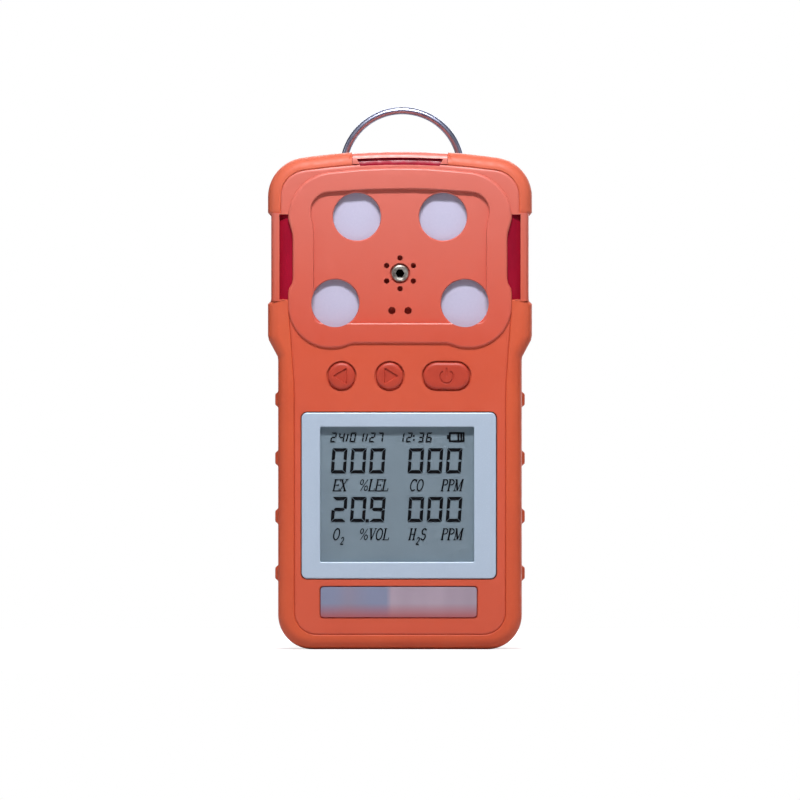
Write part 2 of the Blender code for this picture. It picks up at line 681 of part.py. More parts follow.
def make_front_case():
    outer = case_outline()
    case = prism("front_case", outer, LIP_BACK + GAP, PARTING_FRONT, orange_plastic())
    face = offset(face_outline(), -GAP)
    loops = [
        at_depth(offset(face, -FACE_CHAMFER), FACE_FRONT),
        at_depth(face, FACE_FRONT + FACE_CHAMFER),
        at_depth(face, LIP_BACK + OVERCUT),
    ]
    join(case, loft("add_face", loops))
    add_cheek(case, -1)
    add_cheek(case, 1)
    brow = [at_depth(brow_outline(inset), y) for y, inset in BROW_EDGE]
    join(case, loft("add_brow", brow + [at_depth(brow_outline(0.0), PARTING_FRONT)]))
    seat = offset(mirrored(cover_half()), GAP)
    cut(case, prism("cut_seat", seat, FACE_FRONT - OVERCUT, CASE_FRONT))
    inner_front = CASE_FRONT + WALL
    inner = offset(outer, -WALL)
    cut(case, prism("cut_cavity", inner, inner_front, PARTING_FRONT + OVERCUT))
    pocket = rounded_box(*POCKET, POCKET_CORNER)
    cut(case, prism("cut_pocket", pocket, FACE_INNER, inner_front + GAP))
    for i, centre in enumerate(CASE_SCREWS):
        boss = rod(f"add_boss_{i}", centre, BOSS_RADIUS, inner_front - GAP, BOSS_FRONT, 10)
        bore = rod(f"cut_boss_{i}", centre, BORE_RADIUS, BORE_TIP, BOSS_FRONT + OVERCUT, 8)
        join(case, boss)
        cut(case, bore)
    join(case, rod("add_nose", COVER_SCREW, NOSE_RADIUS, inner_front - OVERCUT, NOSE_TIP, 12))
    front, back = CASE_FRONT - OVERCUT, inner_front + OVERCUT
    cut(case, rod("cut_nose", COVER_SCREW, BORE_RADIUS, front, NOSE_TIP + OVERCUT, 10))
    cut(case, *sound_holes("case", SOUND_HOLE + GAP / 3, front, back))
    for i, centre in enumerate(INLETS):
        cut(case, rod(f"cut_cell_{i}", centre, CELL_RADIUS + GAP, front, back, 24))
    cut_for_fittings(case)
    cut_for_windows(case)
    return case


def make_rear_case():
    outer = case_outline()
    loops = [
        at_depth(outer, PARTING_BACK),
        at_depth(outer, CASE_BACK - REAR_CHAMFER),
        at_depth(offset(outer, -REAR_CHAMFER), CASE_BACK),
    ]
    case = loft("rear_case", loops, orange_plastic())
    join(case, prism("add_rear", rear_panel(0.0), CASE_BACK - REAR_PANEL_ROOT, REAR_PANEL_BACK))
    inner, inner_back = offset(outer, -WALL), CASE_BACK - WALL
    cut(case, prism("cut_rear", inner, PARTING_BACK - OVERCUT, inner_back))
    behind = REAR_PANEL_BACK + OVERCUT
    for i, centre in enumerate(CASE_SCREWS):
        boss = rod(f"add_tower_{i}", centre, BOSS_RADIUS, BOSS_BACK, inner_back + GAP, 10)
        bore = rod(f"cut_tower_{i}", centre, BORE_RADIUS, BOSS_BACK - OVERCUT, behind, 8)
        sink = rod(f"cut_sink_{i}", centre, SINK_RADIUS, SINK_FLOOR, behind, 12)
        join(case, boss)
        cut(case, bore, sink)
    cut(case, box("cut_socket", *SOCKET_OPENING), box("cut_flap", *FLAP_RECESS))
    for i, centre in enumerate(RING_SCREWS + CLIP_SCREWS):
        cut(case, rod(f"cut_fixing_{i}", centre, BORE_RADIUS, inner_back - OVERCUT, behind, 8))
    return case


def make_case_gasket():
    outer = offset(case_outline(), -SEAL_OUTER)
    inner = offset(case_outline(), -SEAL_INNER)
    front, back = PARTING_FRONT + GAP, PARTING_BACK - GAP
    loops = [
        at_depth(outer, front),
        at_depth(outer, back),
        at_depth(inner, back),
        at_depth(inner, front),
    ]
    return loft("case_gasket", loops, dark_rubber(), closed=True)


def make_case_screws():
    for i, centre in enumerate(CASE_SCREWS):
        turned(f"case_screw_{i + 1}", centre, CASE_SCREW_PROFILE, 10, steel())


def make_sensor_cover():
    outer = mirrored(cover_half())
    loops = [
        at_depth(offset(outer, -COVER_CHAMFER), COVER_FRONT),
        at_depth(outer, COVER_FRONT + COVER_CHAMFER),
        at_depth(outer, COVER_BACK),
    ]
    cover = loft("sensor_cover", loops, orange_plastic())
    front, back = COVER_FRONT - OVERCUT, COVER_BACK + OVERCUT
    cut(cover, prism("cut_recess", recess_outline(), front, COVER_PLATE))
    seat_front, seat_back = FILTER_FRONT - GAP, FILTER_FRONT + GAP / 2
    for i, centre in enumerate(INLETS):
        cut(
            cover,
            rod(f"cut_inlet_{i}", centre, INLET_RADIUS, front, seat_back, 24),
            rod(f"cut_seat_{i}", centre, FILTER_SEAT_RADIUS, seat_front, back, 24),
        )
    cut(cover, *sound_holes("cover", SOUND_HOLE, front, back))
    cut(
        cover,
        rod("cut_head", COVER_SCREW, HEAD_SEAT_RADIUS, front, HEAD_SEAT, 16),
        rod("cut_shank", COVER_SCREW, BORE_RADIUS, front, back, 12),
    )
    return cover


def make_cover_screw():
    screw = turned("cover_screw", COVER_SCREW, COVER_SCREW_PROFILE, 18, steel())
    return cut(screw, rod("cut_hex", COVER_SCREW, HEX_RADIUS, COVER_FRONT, HEX_FLOOR, 6))


def make_sensors():
    filter_profile = [(FILTER_RADIUS, FILTER_FRONT), (FILTER_RADIUS, FILTER_BACK)]
    gasket_profile = [(GASKET_OUTER, GASKET_FRONT), (GASKET_OUTER, GASKET_BACK)]
    gasket_profile += [(GASKET_INNER, GASKET_BACK), (GASKET_INNER, GASKET_FRONT)]
    cell_profile = [(CELL_RADIUS - CELL_CHAMFER, CELL_FRONT)]
    cell_profile += [(CELL_RADIUS, CELL_FRONT + CELL_CHAMFER), (CELL_RADIUS, CELL_BACK)]
    for i, centre in enumerate(INLETS):
        turned(f"sensor_filter_{i + 1}", centre, filter_profile, 24, membrane())
        turned(f"sensor_gasket_{i + 1}", centre, gasket_profile, 20, dark_rubber(), hollow=True)
        turned(f"sensor_cell_{i + 1}", centre, cell_profile, 20, pale_plastic())


# ---------------------------------------------------------------- display, keys, windows


def make_display():
    outer = rounded_box(*BEZEL, BEZEL_CORNER)
    inner = rounded_box(*SCREEN, SCREEN_CORNER)
    loops = [
        at_depth(offset(outer, -GAP), BEZEL_FRONT),
        at_depth(outer, BEZEL_FRONT + GAP),
        at_depth(outer, BEZEL_BACK),
        at_depth(inner, BEZEL_BACK),
        at_depth(inner, BEZEL_FRONT),
    ]
    loft("display_bezel", loops, satin_silver(), closed=True)
    pane = offset(inner, -GAP)
    prism("display_window", pane, PANE_FRONT, PANE_BACK, screen_glass())
    left, right, low, high = BEZEL
    left, low = left + LCD_MARGIN, low + LCD_MARGIN
    right, high = right - LCD_MARGIN, high - LCD_MARGIN
    box("lcd_module", left, right, LCD_FRONT, LCD_BACK, low, high, black_plastic())
    plate = rounded_box(*PLATE, PLATE_CORNER, 2)
    prism("name_plate", plate, PLATE_FRONT, PLATE_BACK, satin_silver())


def power_outline(radius):
    """A stadium for the power key, its straight part as long as the key's."""
    reach = POWER_HALF - KEY_RADIUS
    right = arc(KEY_POWER + reach, KEY_HEIGHT, radius, -90, 90, 8)
    left = arc(KEY_POWER - reach, KEY_HEIGHT, radius, 90, 270, 8)
    return right + left


def make_key(name, x, outline_of):
    """A key cap with a flange behind the panel and a post that presses its snap dome."""
    flange_back = KEY_FLANGE_FRONT + KEY_FLANGE
    loops = [
        at_depth(outline_of(KEY_RADIUS - KEY_CHAMFER), KEY_FRONT),
        at_depth(outline_of(KEY_RADIUS), KEY_FRONT + KEY_CHAMFER),
        at_depth(outline_of(KEY_RADIUS), KEY_FLANGE_FRONT),
        at_depth(outline_of(KEY_RADIUS + KEY_FLANGE), KEY_FLANGE_FRONT),
        at_depth(outline_of(KEY_RADIUS + KEY_FLANGE), flange_back),
    ]
    key = loft(name, loops, orange_rubber())
    centre = (x, KEY_HEIGHT)
    post = rod(f"add_post_{name}", centre, POST_RADIUS, flange_back - GAP, POST_TIP, 10)
    join(key, post)
    carrier = pivot(f"{name}_slide", KEY_FRONT, KEY_HEIGHT, x)
    bpy.context.view_layer.update()
    mount_on(key, carrier)
    mount_on(post, carrier)
    return key


def round_key(x):
    def outline(radius):
        return arc(x, KEY_HEIGHT, radius, 0, 342, 19)

    return outline


def make_keys():
    make_key("key_left", KEY_LEFT, round_key(KEY_LEFT))
    make_key("key_right", KEY_RIGHT, round_key(KEY_RIGHT))
    make_key("key_power", KEY_POWER, power_outline)
    box("keypad_board", *KEYPAD_BOARD, board_green())
    for i, x in enumerate((KEY_LEFT, KEY_RIGHT, KEY_POWER)):
        turned(f"snap_dome_{i + 1}", (x, KEY_HEIGHT), SNAP_DOME_PROFILE, 14, steel())


def make_side_window(name, side):
    """A red window flush in the case's front edge, wider where the sensor cover draws in."""
    low, high = WINDOW_LOW + GAP, WINDOW_HIGH - GAP
    inner, outer, wide = WINDOW_INNER + GAP, WINDOW_OUTER - GAP, COVER_WAIST_HALF + GAP
    narrow_above, wide_below, wide_above, narrow_below = WINDOW_WIDENS
    face = [
        (inner, low),
        (outer, low),
        (outer, high),
        (inner, high),
        (inner, narrow_above),
        (wide, wide_below),
        (wide, wide_above),
        (inner, narrow_below),
    ]
    edge = outer - GUIDE_SHY
    stem = [(inner, low), (edge, low), (edge, high), (inner, high)]
    if side < 0:
        face = [(-x, z) for x, z in reversed(face)]
        stem = [(-x, z) for x, z in reversed(stem)]
    window = prism(name, face, WINDOW_FRONT, CASE_FRONT - GAP, alarm_red())
    return join(window, prism(f"add_guide_{name}", stem, CASE_FRONT - 2 * GAP, GUIDE_BACK))


def make_windows():
    make_side_window("alarm_window_left", -1)
    make_side_window("alarm_window_right", 1)
    outline = top_slot(GAP)
    back = CASE_FRONT - GAP
    window = prism("alarm_window_top", outline, TOP_WINDOW_FRONT, back, alarm_red())
    join(window, box("add_guide_top", *TOP_GUIDE))
    front, back = LIGHT_FRONT, SENSOR_BOARD_Y[0] - GAP
    low, high = SIDE_LIGHT_LOW, SIDE_LIGHT_HIGH
    for side, x in (("left", -SIDE_LIGHT_X), ("right", SIDE_LIGHT_X)):
        left, right = x - SIDE_LIGHT_HALF, x + SIDE_LIGHT_HALF
        box(f"alarm_light_{side}", left, right, front, back, low, high, pale_plastic())
    left, right, low, high = TOP_LIGHT
    box("alarm_light_top", left, right, front, back, low, high, pale_plastic())


# ---------------------------------------------------------------- inside


def make_boards():
    y0, y1 = SENSOR_BOARD_Y
    plate = rounded_box(*SENSOR_BOARD, SENSOR_BOARD_CORNER)
    board = prism("sensor_board", plate, y0, y1, board_green())
    for i, centre in enumerate(CASE_SCREWS[:2]):
        cut(board, rod(f"cut_board_{i}", centre, BOARD_HOLE, y0 - OVERCUT, y1 + OVERCUT, 8))
    box("main_board", *MAIN_BOARD, board_green())
    box("board_connector", *BOARD_CONNECTOR, black_plastic())


def make_power():
    box("battery", *BATTERY, screen_glass())
    box("battery_pad", *BATTERY_PAD, dark_rubber())
    socket = box("charging_socket", *SOCKET, steel())
    join(socket, box("add_foot", *SOCKET_FOOT))
    slot = rounded_box(*PLUG_SLOT, PLUG_CORNER)
    cut(socket, prism("cut_plug", slot, PLUG_FLOOR, SOCKET[3] + OVERCUT))


def make_alarms():
    rod("buzzer", COVER_SCREW, BUZZER_RADIUS, BUZZER_FRONT, BUZZER_BACK, 20, black_plastic())
    motor = cross_rod(
        "vibration_motor", MOTOR_AXIS, MOTOR_RADIUS, MOTOR_LEFT, MOTOR_RIGHT, 14, steel()
    )
    bore_start = SHAFT_START - MOTOR_BORE
    cut(
        motor,
        cross_rod("cut_motor", MOTOR_AXIS, MOTOR_BORE, bore_start, MOTOR_RIGHT + OVERCUT, 10),
    )
    middle = (0.0, 0.0)
    lobe = arc(*middle, WEIGHT_RADIUS, -180, 0, 8) + arc(*middle, WEIGHT_HUB, 0, 180, 4)
    weight = side_prism("eccentric_weight", lobe, WEIGHT_LEFT, WEIGHT_RIGHT, steel())
    shaft = cross_rod(
        "add_shaft", middle, SHAFT_RADIUS, SHAFT_START, WEIGHT_LEFT + SHAFT_ROOT, 8
    )
    join(weight, shaft)
    spin = pivot("weight_spin", *MOTOR_AXIS)
    weight.parent = spin
    shaft.parent = spin


# ---------------------------------------------------------------- behind


def make_fixings(name, centres):
    for i, centre in enumerate(centres):
        turned(f"{name}_{i + 1}", centre, FIXING_PROFILE, 10, steel())


def ring_path():
    """Middle line of the hanging ring from its pivot: a round bow closed by a straight bar."""
    drop = RING_CENTRE - RING_PIVOT[1]
    lean = math.degrees(math.asin(drop / RING_RADIUS))
    bow = arc(RING_SHIFT, drop, RING_RADIUS, -lean, 180 + lean, 26)
    return bow + [(x + RING_SHIFT, 0.0) for x in RING_BAR]


def wire_loop(centre, normal, stretch):
    """One round section of the wire, stretched where it is mitred."""
    loop = []
    x, z = centre
    for j in range(10):
        a = math.radians(36 * j)
        out = RING_WIRE * math.cos(a) * stretch
        loop.append(
            (x + out * math.cos(normal), RING_WIRE * math.sin(a), z + out * math.sin(normal))
        )
    return loop


def make_ring():
    """A round wire swept along the path, each joint mitred."""
    path = ring_path()
    loops = []
    for i, (x, z) in enumerate(path):
        ax, az = path[i - 1]
        bx, bz = path[(i + 1) % len(path)]
        before = math.atan2(z - az, x - ax)
        after = math.atan2(bz - z, bx - x)
        turn = (after - before + math.pi) % (2 * math.pi) - math.pi
        normal = before + turn / 2 - math.pi / 2
        loops.append(wire_loop((x, z), normal, 1 / math.cos(turn / 2)))
    ring = loft("hanging_ring", loops, steel(), closed=True)
    ring.parent = pivot("ring_pivot", *RING_PIVOT)


def make_ring_bracket():
    """A screwed-on plate whose upper end wraps round the ring's straight bar."""
    y, z = RING_PIVOT
    base = REAR_PANEL_BACK + GAP
    top = base + BRACKET_THICK
    sleeve = arc(y, z, SLEEVE_RADIUS, -60, 180, 10)
    outline = [(base, BRACKET_LOW), (top, BRACKET_LOW), (top, BRACKET_BEND)]
    outline += [(y + BRACKET_KNEE[0], z + BRACKET_KNEE[1])] + sleeve[1:]
    outline.append((base, z))
    bracket = side_prism("ring_bracket", outline, -BRACKET_HALF, BRACKET_HALF, steel())
    reach = BRACKET_HALF + OVERCUT
    cut(bracket, cross_rod("cut_sleeve", RING_PIVOT, SLEEVE_BORE, -reach, reach, 16))
    cut_fixing_holes(bracket, "bracket", RING_SCREWS, base)
    make_fixings("ring_screw", RING_SCREWS)


def cut_fixing_holes(plate, name, centres, base):
    for i, centre in enumerate(centres):
        hole = rod(f"cut_{name}_{i}", centre, FIXING_HOLE, base - OVERCUT, base + FIXING_DEPTH, 10)
        cut(plate, hole)


def strip(path, thickness):
    """A closed (y, z) outline of even thickness round a path."""
    half = thickness / 2
    one, other = [], []
    for i, (y, z) in enumerate(path):
        ay, az = path[max(i - 1, 0)]
        by, bz = path[min(i + 1, len(path) - 1)]
        a = math.atan2(bz - az, by - ay) + math.pi / 2
        one.append((y + half * math.cos(a), z + half * math.sin(a)))
        other.append((y - half * math.cos(a), z - half * math.sin(a)))
    return one + other[::-1]


def make_clip_base():
    """The clip's screwed-on base with two lugs for the pin, and the pin."""
    plate = box("clip_base", *CLIP_BASE, steel())
    lug = list(LUG_FOOT) + arc(*CLIP_PIVOT, LUG_RADIUS, -45, 90, 5) + [LUG_HEEL]
    for side, left, right in (("left", -LUG_OUTER, -LUG_INNER), ("right", LUG_INNER, LUG_OUTER)):
        join(plate, side_prism(f"add_lug_{side}", lug, left, right))
    reach = LUG_OUTER + OVERCUT
    cut(plate, cross_rod("cut_lugs", CLIP_PIVOT, LUG_BORE, -reach, reach, 12))
    cut_fixing_holes(plate, "clip", CLIP_SCREWS, CLIP_BASE[2])
    make_fixings("clip_screw", CLIP_SCREWS)
    cross_rod("clip_pin", CLIP_PIVOT, PIN_RADIUS, -PIN_HALF, PIN_HALF, 12, steel())


def make_clip():
    arm = strip(CLIP_ARM, CLIP_THICK)
    clip = side_prism("belt_clip", arm, -CLIP_HALF, CLIP_HALF, satin_silver())
    middle = (0.0, 0.0)
    hub = cross_rod("add_hub", middle, HUB_RADIUS, -CLIP_HALF, CLIP_HALF, 14)
    reach = CLIP_HALF + OVERCUT
    bore = cross_rod("cut_hub", middle, HUB_BORE, -reach, reach, 12)
    join(clip, hub)
    cut(clip, bore)
    swing = pivot("clip_pivot", *CLIP_PIVOT)
    for obj in (clip, hub, bore):
        obj.parent = swing
    leaf = strip(SPRING_PATH, SPRING_THICK)
    side_prism("clip_spring", leaf, -SPRING_HALF, SPRING_HALF, steel())


def make_port_cover():
    """A rubber flap over the charging socket, hinged along its lower edge."""
    half = FLAP_THICK / 2
    outline = arc(0.0, 0.0, half, 180, 360, 6) + [(half, FLAP_HEIGHT), (-half, FLAP_HEIGHT)]
    flap = side_prism("port_cover", outline, -FLAP_HALF, FLAP_HALF, dark_rubber())
    flap.parent = pivot("port_pivot", *PORT_PIVOT)


def main():
    clear_scene()
    make_boot()
    make_front_case()
    make_rear_case()
    make_case_gasket()
    make_case_screws()
    make_sensor_cover()
    make_cover_screw()
    make_sensors()
    make_display()
    make_keys()
    make_windows()
    make_boards()
    make_power()
    make_alarms()
    make_ring()
    make_ring_bracket()
    make_clip_base()
    make_clip()
    make_port_cover()


main()
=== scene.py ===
"""Looks of a portable gas detector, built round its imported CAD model.

The detector stands on its flat bottom and faces -Y; X is to its right, Z is up. Metres throughout.
Outer pieces are modelled again with fine, rounded meshes; inner CAD nodes keep their shape and
get procedural materials.
"""

import json
import math

import bmesh
import bpy
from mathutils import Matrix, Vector


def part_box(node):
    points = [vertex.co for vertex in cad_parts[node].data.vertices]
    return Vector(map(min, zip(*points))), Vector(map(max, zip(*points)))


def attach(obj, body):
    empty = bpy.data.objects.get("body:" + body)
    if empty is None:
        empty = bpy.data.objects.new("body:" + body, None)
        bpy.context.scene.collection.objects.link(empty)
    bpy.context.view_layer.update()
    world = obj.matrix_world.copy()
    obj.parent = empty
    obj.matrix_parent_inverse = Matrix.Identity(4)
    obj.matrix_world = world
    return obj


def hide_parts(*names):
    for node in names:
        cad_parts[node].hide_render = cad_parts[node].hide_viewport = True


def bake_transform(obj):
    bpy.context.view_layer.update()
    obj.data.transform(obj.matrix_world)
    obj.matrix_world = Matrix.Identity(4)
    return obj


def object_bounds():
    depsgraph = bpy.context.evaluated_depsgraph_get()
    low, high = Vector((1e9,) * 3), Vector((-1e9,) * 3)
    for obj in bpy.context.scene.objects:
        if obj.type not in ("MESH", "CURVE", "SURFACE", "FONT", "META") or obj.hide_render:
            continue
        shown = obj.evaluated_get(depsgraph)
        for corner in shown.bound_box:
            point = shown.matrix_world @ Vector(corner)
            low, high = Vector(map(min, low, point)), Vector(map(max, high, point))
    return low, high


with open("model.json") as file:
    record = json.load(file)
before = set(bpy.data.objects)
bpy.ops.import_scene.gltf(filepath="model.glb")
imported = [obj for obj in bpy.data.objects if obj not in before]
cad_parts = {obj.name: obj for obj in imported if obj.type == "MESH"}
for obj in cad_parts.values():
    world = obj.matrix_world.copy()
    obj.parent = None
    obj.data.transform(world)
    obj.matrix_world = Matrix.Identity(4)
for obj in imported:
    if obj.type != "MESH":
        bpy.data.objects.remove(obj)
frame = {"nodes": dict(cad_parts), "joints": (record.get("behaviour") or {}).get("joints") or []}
CAD_BOX = [list(corner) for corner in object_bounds()]
MM = 0.001


# ---------------------------------------------------------------- places from the frame


def middle(node):
    low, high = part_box(node)
    return (low + high) / 2


def span(node):
    """(left, right, low, high) of a node seen from the front."""
    low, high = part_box(node)
    return low.x, high.x, low.z, high.z


def depths(node):
    """(front, back) of a node along Y."""
    low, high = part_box(node)
    return low.y, high.y


def joint_place(name):
    return next(joint for joint in frame["joints"] if joint["name"] == name)["pos_m"]


BOOT_LOW, BOOT_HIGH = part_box("boot")
CASE_LOW, CASE_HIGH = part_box("front_case")
REAR_LOW, REAR_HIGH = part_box("rear_case")
COVER_LOW, COVER_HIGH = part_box("sensor_cover")
BODY_HEIGHT = BOOT_HIGH.z
SHOULDER_HALF = BOOT_HIGH.x
INLETS = [middle(f"sensor_filter_{i}") for i in (1, 2, 3, 4)]
SCREW = middle("cover_screw")
PLATE_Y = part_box("cover_screw")[0].y + 0.3 * MM
FILTER_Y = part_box("sensor_filter_1")[0].y
REFLECTOR_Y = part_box("display_window")[1].y + 0.15 * MM

# Boot and case, seen from the front
LOWER_HALF = SHOULDER_HALF - 2.65 * MM
WAIST_HALF = SHOULDER_HALF - 0.75 * MM
BOTTOM_CORNER = 9.0 * MM
TAPER_LOW, TAPER_HIGH = 76.2 * MM, 80.6 * MM
WAIST_LOW, WAIST_HIGH = 89.8 * MM, 113.6 * MM
STEP = 0.8 * MM
CROWN_RADIUS = 180.0 * MM
TOP_CORNER = 10.3 * MM
GRIP_HEIGHTS = (19.8 * MM, 34.6 * MM, 49.7 * MM, 65.0 * MM)
GRIP_PROUD = 0.8 * MM
GRIP_REACH = 9.2 * MM
MIDDLE_HALF = 12.6 * MM
MIDDLE_DROP = 0.3 * MM
BOOT_THICK = 2.75 * MM
WALL = 2.0 * MM
FACE_Y = CASE_LOW.y
SEAT_Y = -14.6 * MM
LIP_Y = -15.9 * MM
PANEL_HALF = 27.45 * MM
PANEL_BOTTOM = 3.85 * MM
PANEL_CORNER = 5.8 * MM
BAND = 3.4 * MM

# Sensor cover
WAIST_PINCH = 1.2 * MM
COVER_MIDDLE_BOTTOM = COVER_LOW.z + 1.2 * MM
RECESS_HALF = 23.2 * MM
RECESS_LOWER_HALF = 22.4 * MM
RECESS_BOTTOM = 84.9 * MM
RECESS_TOP = 119.7 * MM
INLET_RADIUS = 6.2 * MM
SOUND_RADIUS = 4.0 * MM

# Alarm windows
WINDOW_LOW, WINDOW_HIGH = 91.0 * MM, 113.1 * MM
WINDOW_INNER, WINDOW_OUTER = 29.15 * MM, 31.35 * MM
TOP_SLOT_HALF = 11.2 * MM
TOP_SLOT_LOW, TOP_SLOT_HIGH = 126.0 * MM, 127.9 * MM

# Keys, display and the sensor cover's holes
KEY_RADIUS = 3.5 * MM
POWER_REACH = 2.55 * MM
KEY_WELL, KEY_WELL_MOUTH = 3.55 * MM, 3.95 * MM
KEY_FLANGE, KEY_FLANGE_BACK = 0.35 * MM, -14.5 * MM
SEAT_GAP = 0.25 * MM
CELL_BORE = 10.3 * MM
FILTER_LEDGE = 7.2 * MM
COVER_BACK = -14.0 * MM
SCREW_WELL, SCREW_WELL_Y = 2.65 * MM, -15.4 * MM
SCREW_HOLE = 1.5 * MM
HEX_RADIUS, HEX_DEPTH = 1.18 * MM, 2.6 * MM

# Behind
BRACKET_HOLE = 1.55 * MM
CLIP_THICK, LEAF_THICK = 1.6 * MM, 0.4 * MM
HUB_RADIUS, HUB_BORE = 2.6 * MM, 1.45 * MM
# (y, z) of the clip's arm from its pivot in millimetres, thumb end first
CLIP_ARM = ((3.0, 12.5), (1.8, 3.0), (1.8, -3.0), (2.8, -13.0), (2.8, -37.0), (-3.9, -43.5),
            (-2.4, -48.0))


# ---------------------------------------------------------------- outlines (x, z)


def bowl(cx, cz, rx, rz, start, end, steps=14):
    """Points on an oval between two angles in degrees, both ends included."""
    points = []
    for i in range(steps + 1):
        a = math.radians(start + (end - start) * i / steps)
        points.append((cx + rx * math.cos(a), cz + rz * math.sin(a)))
    return points


def arc(cx, cz, radius, start, end, steps):
    return bowl(cx, cz, radius, radius, start, end, steps)


def circle(cx, cz, radius, sides):
    return arc(cx, cz, radius, 0, 360 - 360 / sides, sides - 1)


def crown(half, top, crown_radius, corner, steps=14, wide_steps=16):
    """Right half of a domed top: a corner arc running into a wide arc, ending at the middle."""
    cx = half - corner
    base = top - crown_radius
    cz = base + math.sqrt((crown_radius - corner) ** 2 - cx**2)
    lean = math.degrees(math.atan2(cz - base, cx))
    wide = arc(0.0, base, crown_radius, lean, 90.0, wide_steps)
    return arc(cx, cz, corner, 0.0, lean, steps) + wide[1:]


def mirrored(half):
    """A closed anticlockwise outline from its right half, listed from bottom to top."""
    right = [p for p in half if p[0] > 1e-6]
    left = [(-x, z) for x, z in reversed(right)]
    bottom = [half[0]] if half[0][0] <= 1e-6 else []
    top = [half[-1]] if half[-1][0] <= 1e-6 else []
    return bottom + right + top + left


def rounded_box(left, right, low, high, radius, steps=8):
    return (
        arc(right - radius, low + radius, radius, -90, 0, steps)
        + arc(right - radius, high - radius, radius, 0, 90, steps)
        + arc(left + radius, high - radius, radius, 90, 180, steps)
        + arc(left + radius, low + radius, radius, 180, 270, steps)
    )


def surround(node, gap, radius, steps=8):
    """A node's outline from the front, grown by gap, with rounded corners."""
    left, right, low, high = span(node)
    return rounded_box(left - gap, right + gap, low - gap, high + gap, radius, steps)


def mitre(outline, i):
    """The angle of the outward normal at a point of a closed outline, and the cosine that
    keeps both of its sides at an even distance."""
    x, z = outline[i]
    ax, az = outline[i - 1]
    bx, bz = outline[(i + 1) % len(outline)]
    before = math.atan2(z - az, x - ax)
    after = math.atan2(bz - z, bx - x)
    turn = (after - before + math.pi) % (2 * math.pi) - math.pi
    return before + turn / 2 - math.pi / 2, math.cos(turn / 2)


def offset(outline, distance):
    """The outline moved outwards by distance (inwards if negative), keeping its corners."""
    moved = []
    for i, (x, z) in enumerate(outline):
        normal, squeeze = mitre(outline, i)
        reach = distance / squeeze
        moved.append((x + reach * math.cos(normal), z + reach * math.sin(normal)))
    return moved


def corner_curve(before, corner, after, radius, steps, share):
    """Points that round a corner, starting up to radius away but within 1/share of each side."""
    corner = Vector(corner)
    before = Vector(before) - corner
    after = Vector(after) - corner
    reach = min(radius, before.length / share, after.length / share)
    start = corner + before.normalized() * reach
    end = corner + after.normalized() * reach
    curve = []
    for j in range(steps + 1):
        t = j / steps
        point = start * (1 - t) ** 2 + corner * 2 * t * (1 - t) + end * t**2
        curve.append((point.x, point.y))
    return curve


def eased(points, radius, steps=4):
    """A closed outline with each corner rounded by up to radius."""
    rounded = []
    for i, corner in enumerate(points):
        after = points[(i + 1) % len(points)]
        rounded += corner_curve(points[i - 1], corner, after, radius, steps, 2.05)
    return rounded


def rounded_path(points, radius, steps=6):
    """An open path with its inner corners rounded."""
    path = [points[0]]
    for before, corner, after in zip(points, points[1:], points[2:]):
        path += corner_curve(before, corner, after, radius, steps, 2.1)
    return path + [points[-1]]


def crown_height(x, inset=0.0):
    radius = CROWN_RADIUS - inset
    return BODY_HEIGHT - CROWN_RADIUS + math.sqrt(radius**2 - x**2)


def rib_points(height, grip):
    """One side rib: a flat-topped bump with rounded shoulders."""
    shape = ((2.3, 0.0), (2.1, 0.06), (1.85, 0.3), (1.6, 0.68), (1.4, 0.92), (1.1, 1.0))
    below = [(LOWER_HALF + grip * rise, height - z * MM) for z, rise in shape]
    above = [(LOWER_HALF + grip * rise, height + z * MM) for z, rise in reversed(shape)]
    return below + above


def silhouette(waist, grip, drop):
    """The detector from the front: waist narrows its sides, grip is how far the ribs stand
    proud, and drop lowers the middle of its top."""
    side = arc(LOWER_HALF - BOTTOM_CORNER, BOTTOM_CORNER, BOTTOM_CORNER, -90, 0, 16)
    for height in GRIP_HEIGHTS:
        side += rib_points(height, grip)
    side += [(LOWER_HALF, TAPER_LOW - MM), (LOWER_HALF + 0.15 * MM, TAPER_LOW)]
    side += [(SHOULDER_HALF - 0.25 * MM, TAPER_HIGH - 0.2 * MM), (SHOULDER_HALF, TAPER_HIGH + MM)]
    if waist:
        side += [(SHOULDER_HALF, WAIST_LOW), (WAIST_HALF, WAIST_LOW + STEP)]
        side += [(WAIST_HALF, WAIST_HIGH - STEP), (SHOULDER_HALF, WAIST_HIGH)]
    top = crown(SHOULDER_HALF, BODY_HEIGHT, CROWN_RADIUS, TOP_CORNER)
    side += [p for p in top if p[0] > MIDDLE_HALF + 0.3 * MM]
    side.append((MIDDLE_HALF, crown_height(MIDDLE_HALF)))
    for i in range(7):
        x = (MIDDLE_HALF - 0.2 * MM) * (1 - i / 6)
        side.append((x, crown_height(x, drop)))
    return mirrored(side)


def case_outline():
    return offset(silhouette(False, 0.0, 0.0), -BOOT_THICK)


def cover_half():
    """Right half of the sensor cover's outline, its bottom bulging below both lower inlets."""
    half = COVER_HIGH.x
    low = COVER_LOW.z
    belly = [(12.0 * MM, COVER_MIDDLE_BOTTOM), (13.2 * MM, low + 0.95 * MM)]
    belly += [(14.6 * MM, low + 0.4 * MM), (16.0 * MM, low + 0.1 * MM)]
    corner = arc(half - 11.0 * MM, low + 11.0 * MM, 11.0 * MM, -90, 0, 14)
    pinch = half - WAIST_PINCH
    waist = [(half, 92.6 * MM), (half - 0.2 * MM, 93.8 * MM), (pinch + 0.2 * MM, 95.2 * MM)]
    waist += [(pinch, 96.4 * MM), (pinch, 106.9 * MM), (pinch + 0.15 * MM, 108.2 * MM)]
    waist += [(half - 0.2 * MM, 111.2 * MM)]
    return belly + corner + waist + crown(half, COVER_HIGH.z, 150.0 * MM, 12.0 * MM)


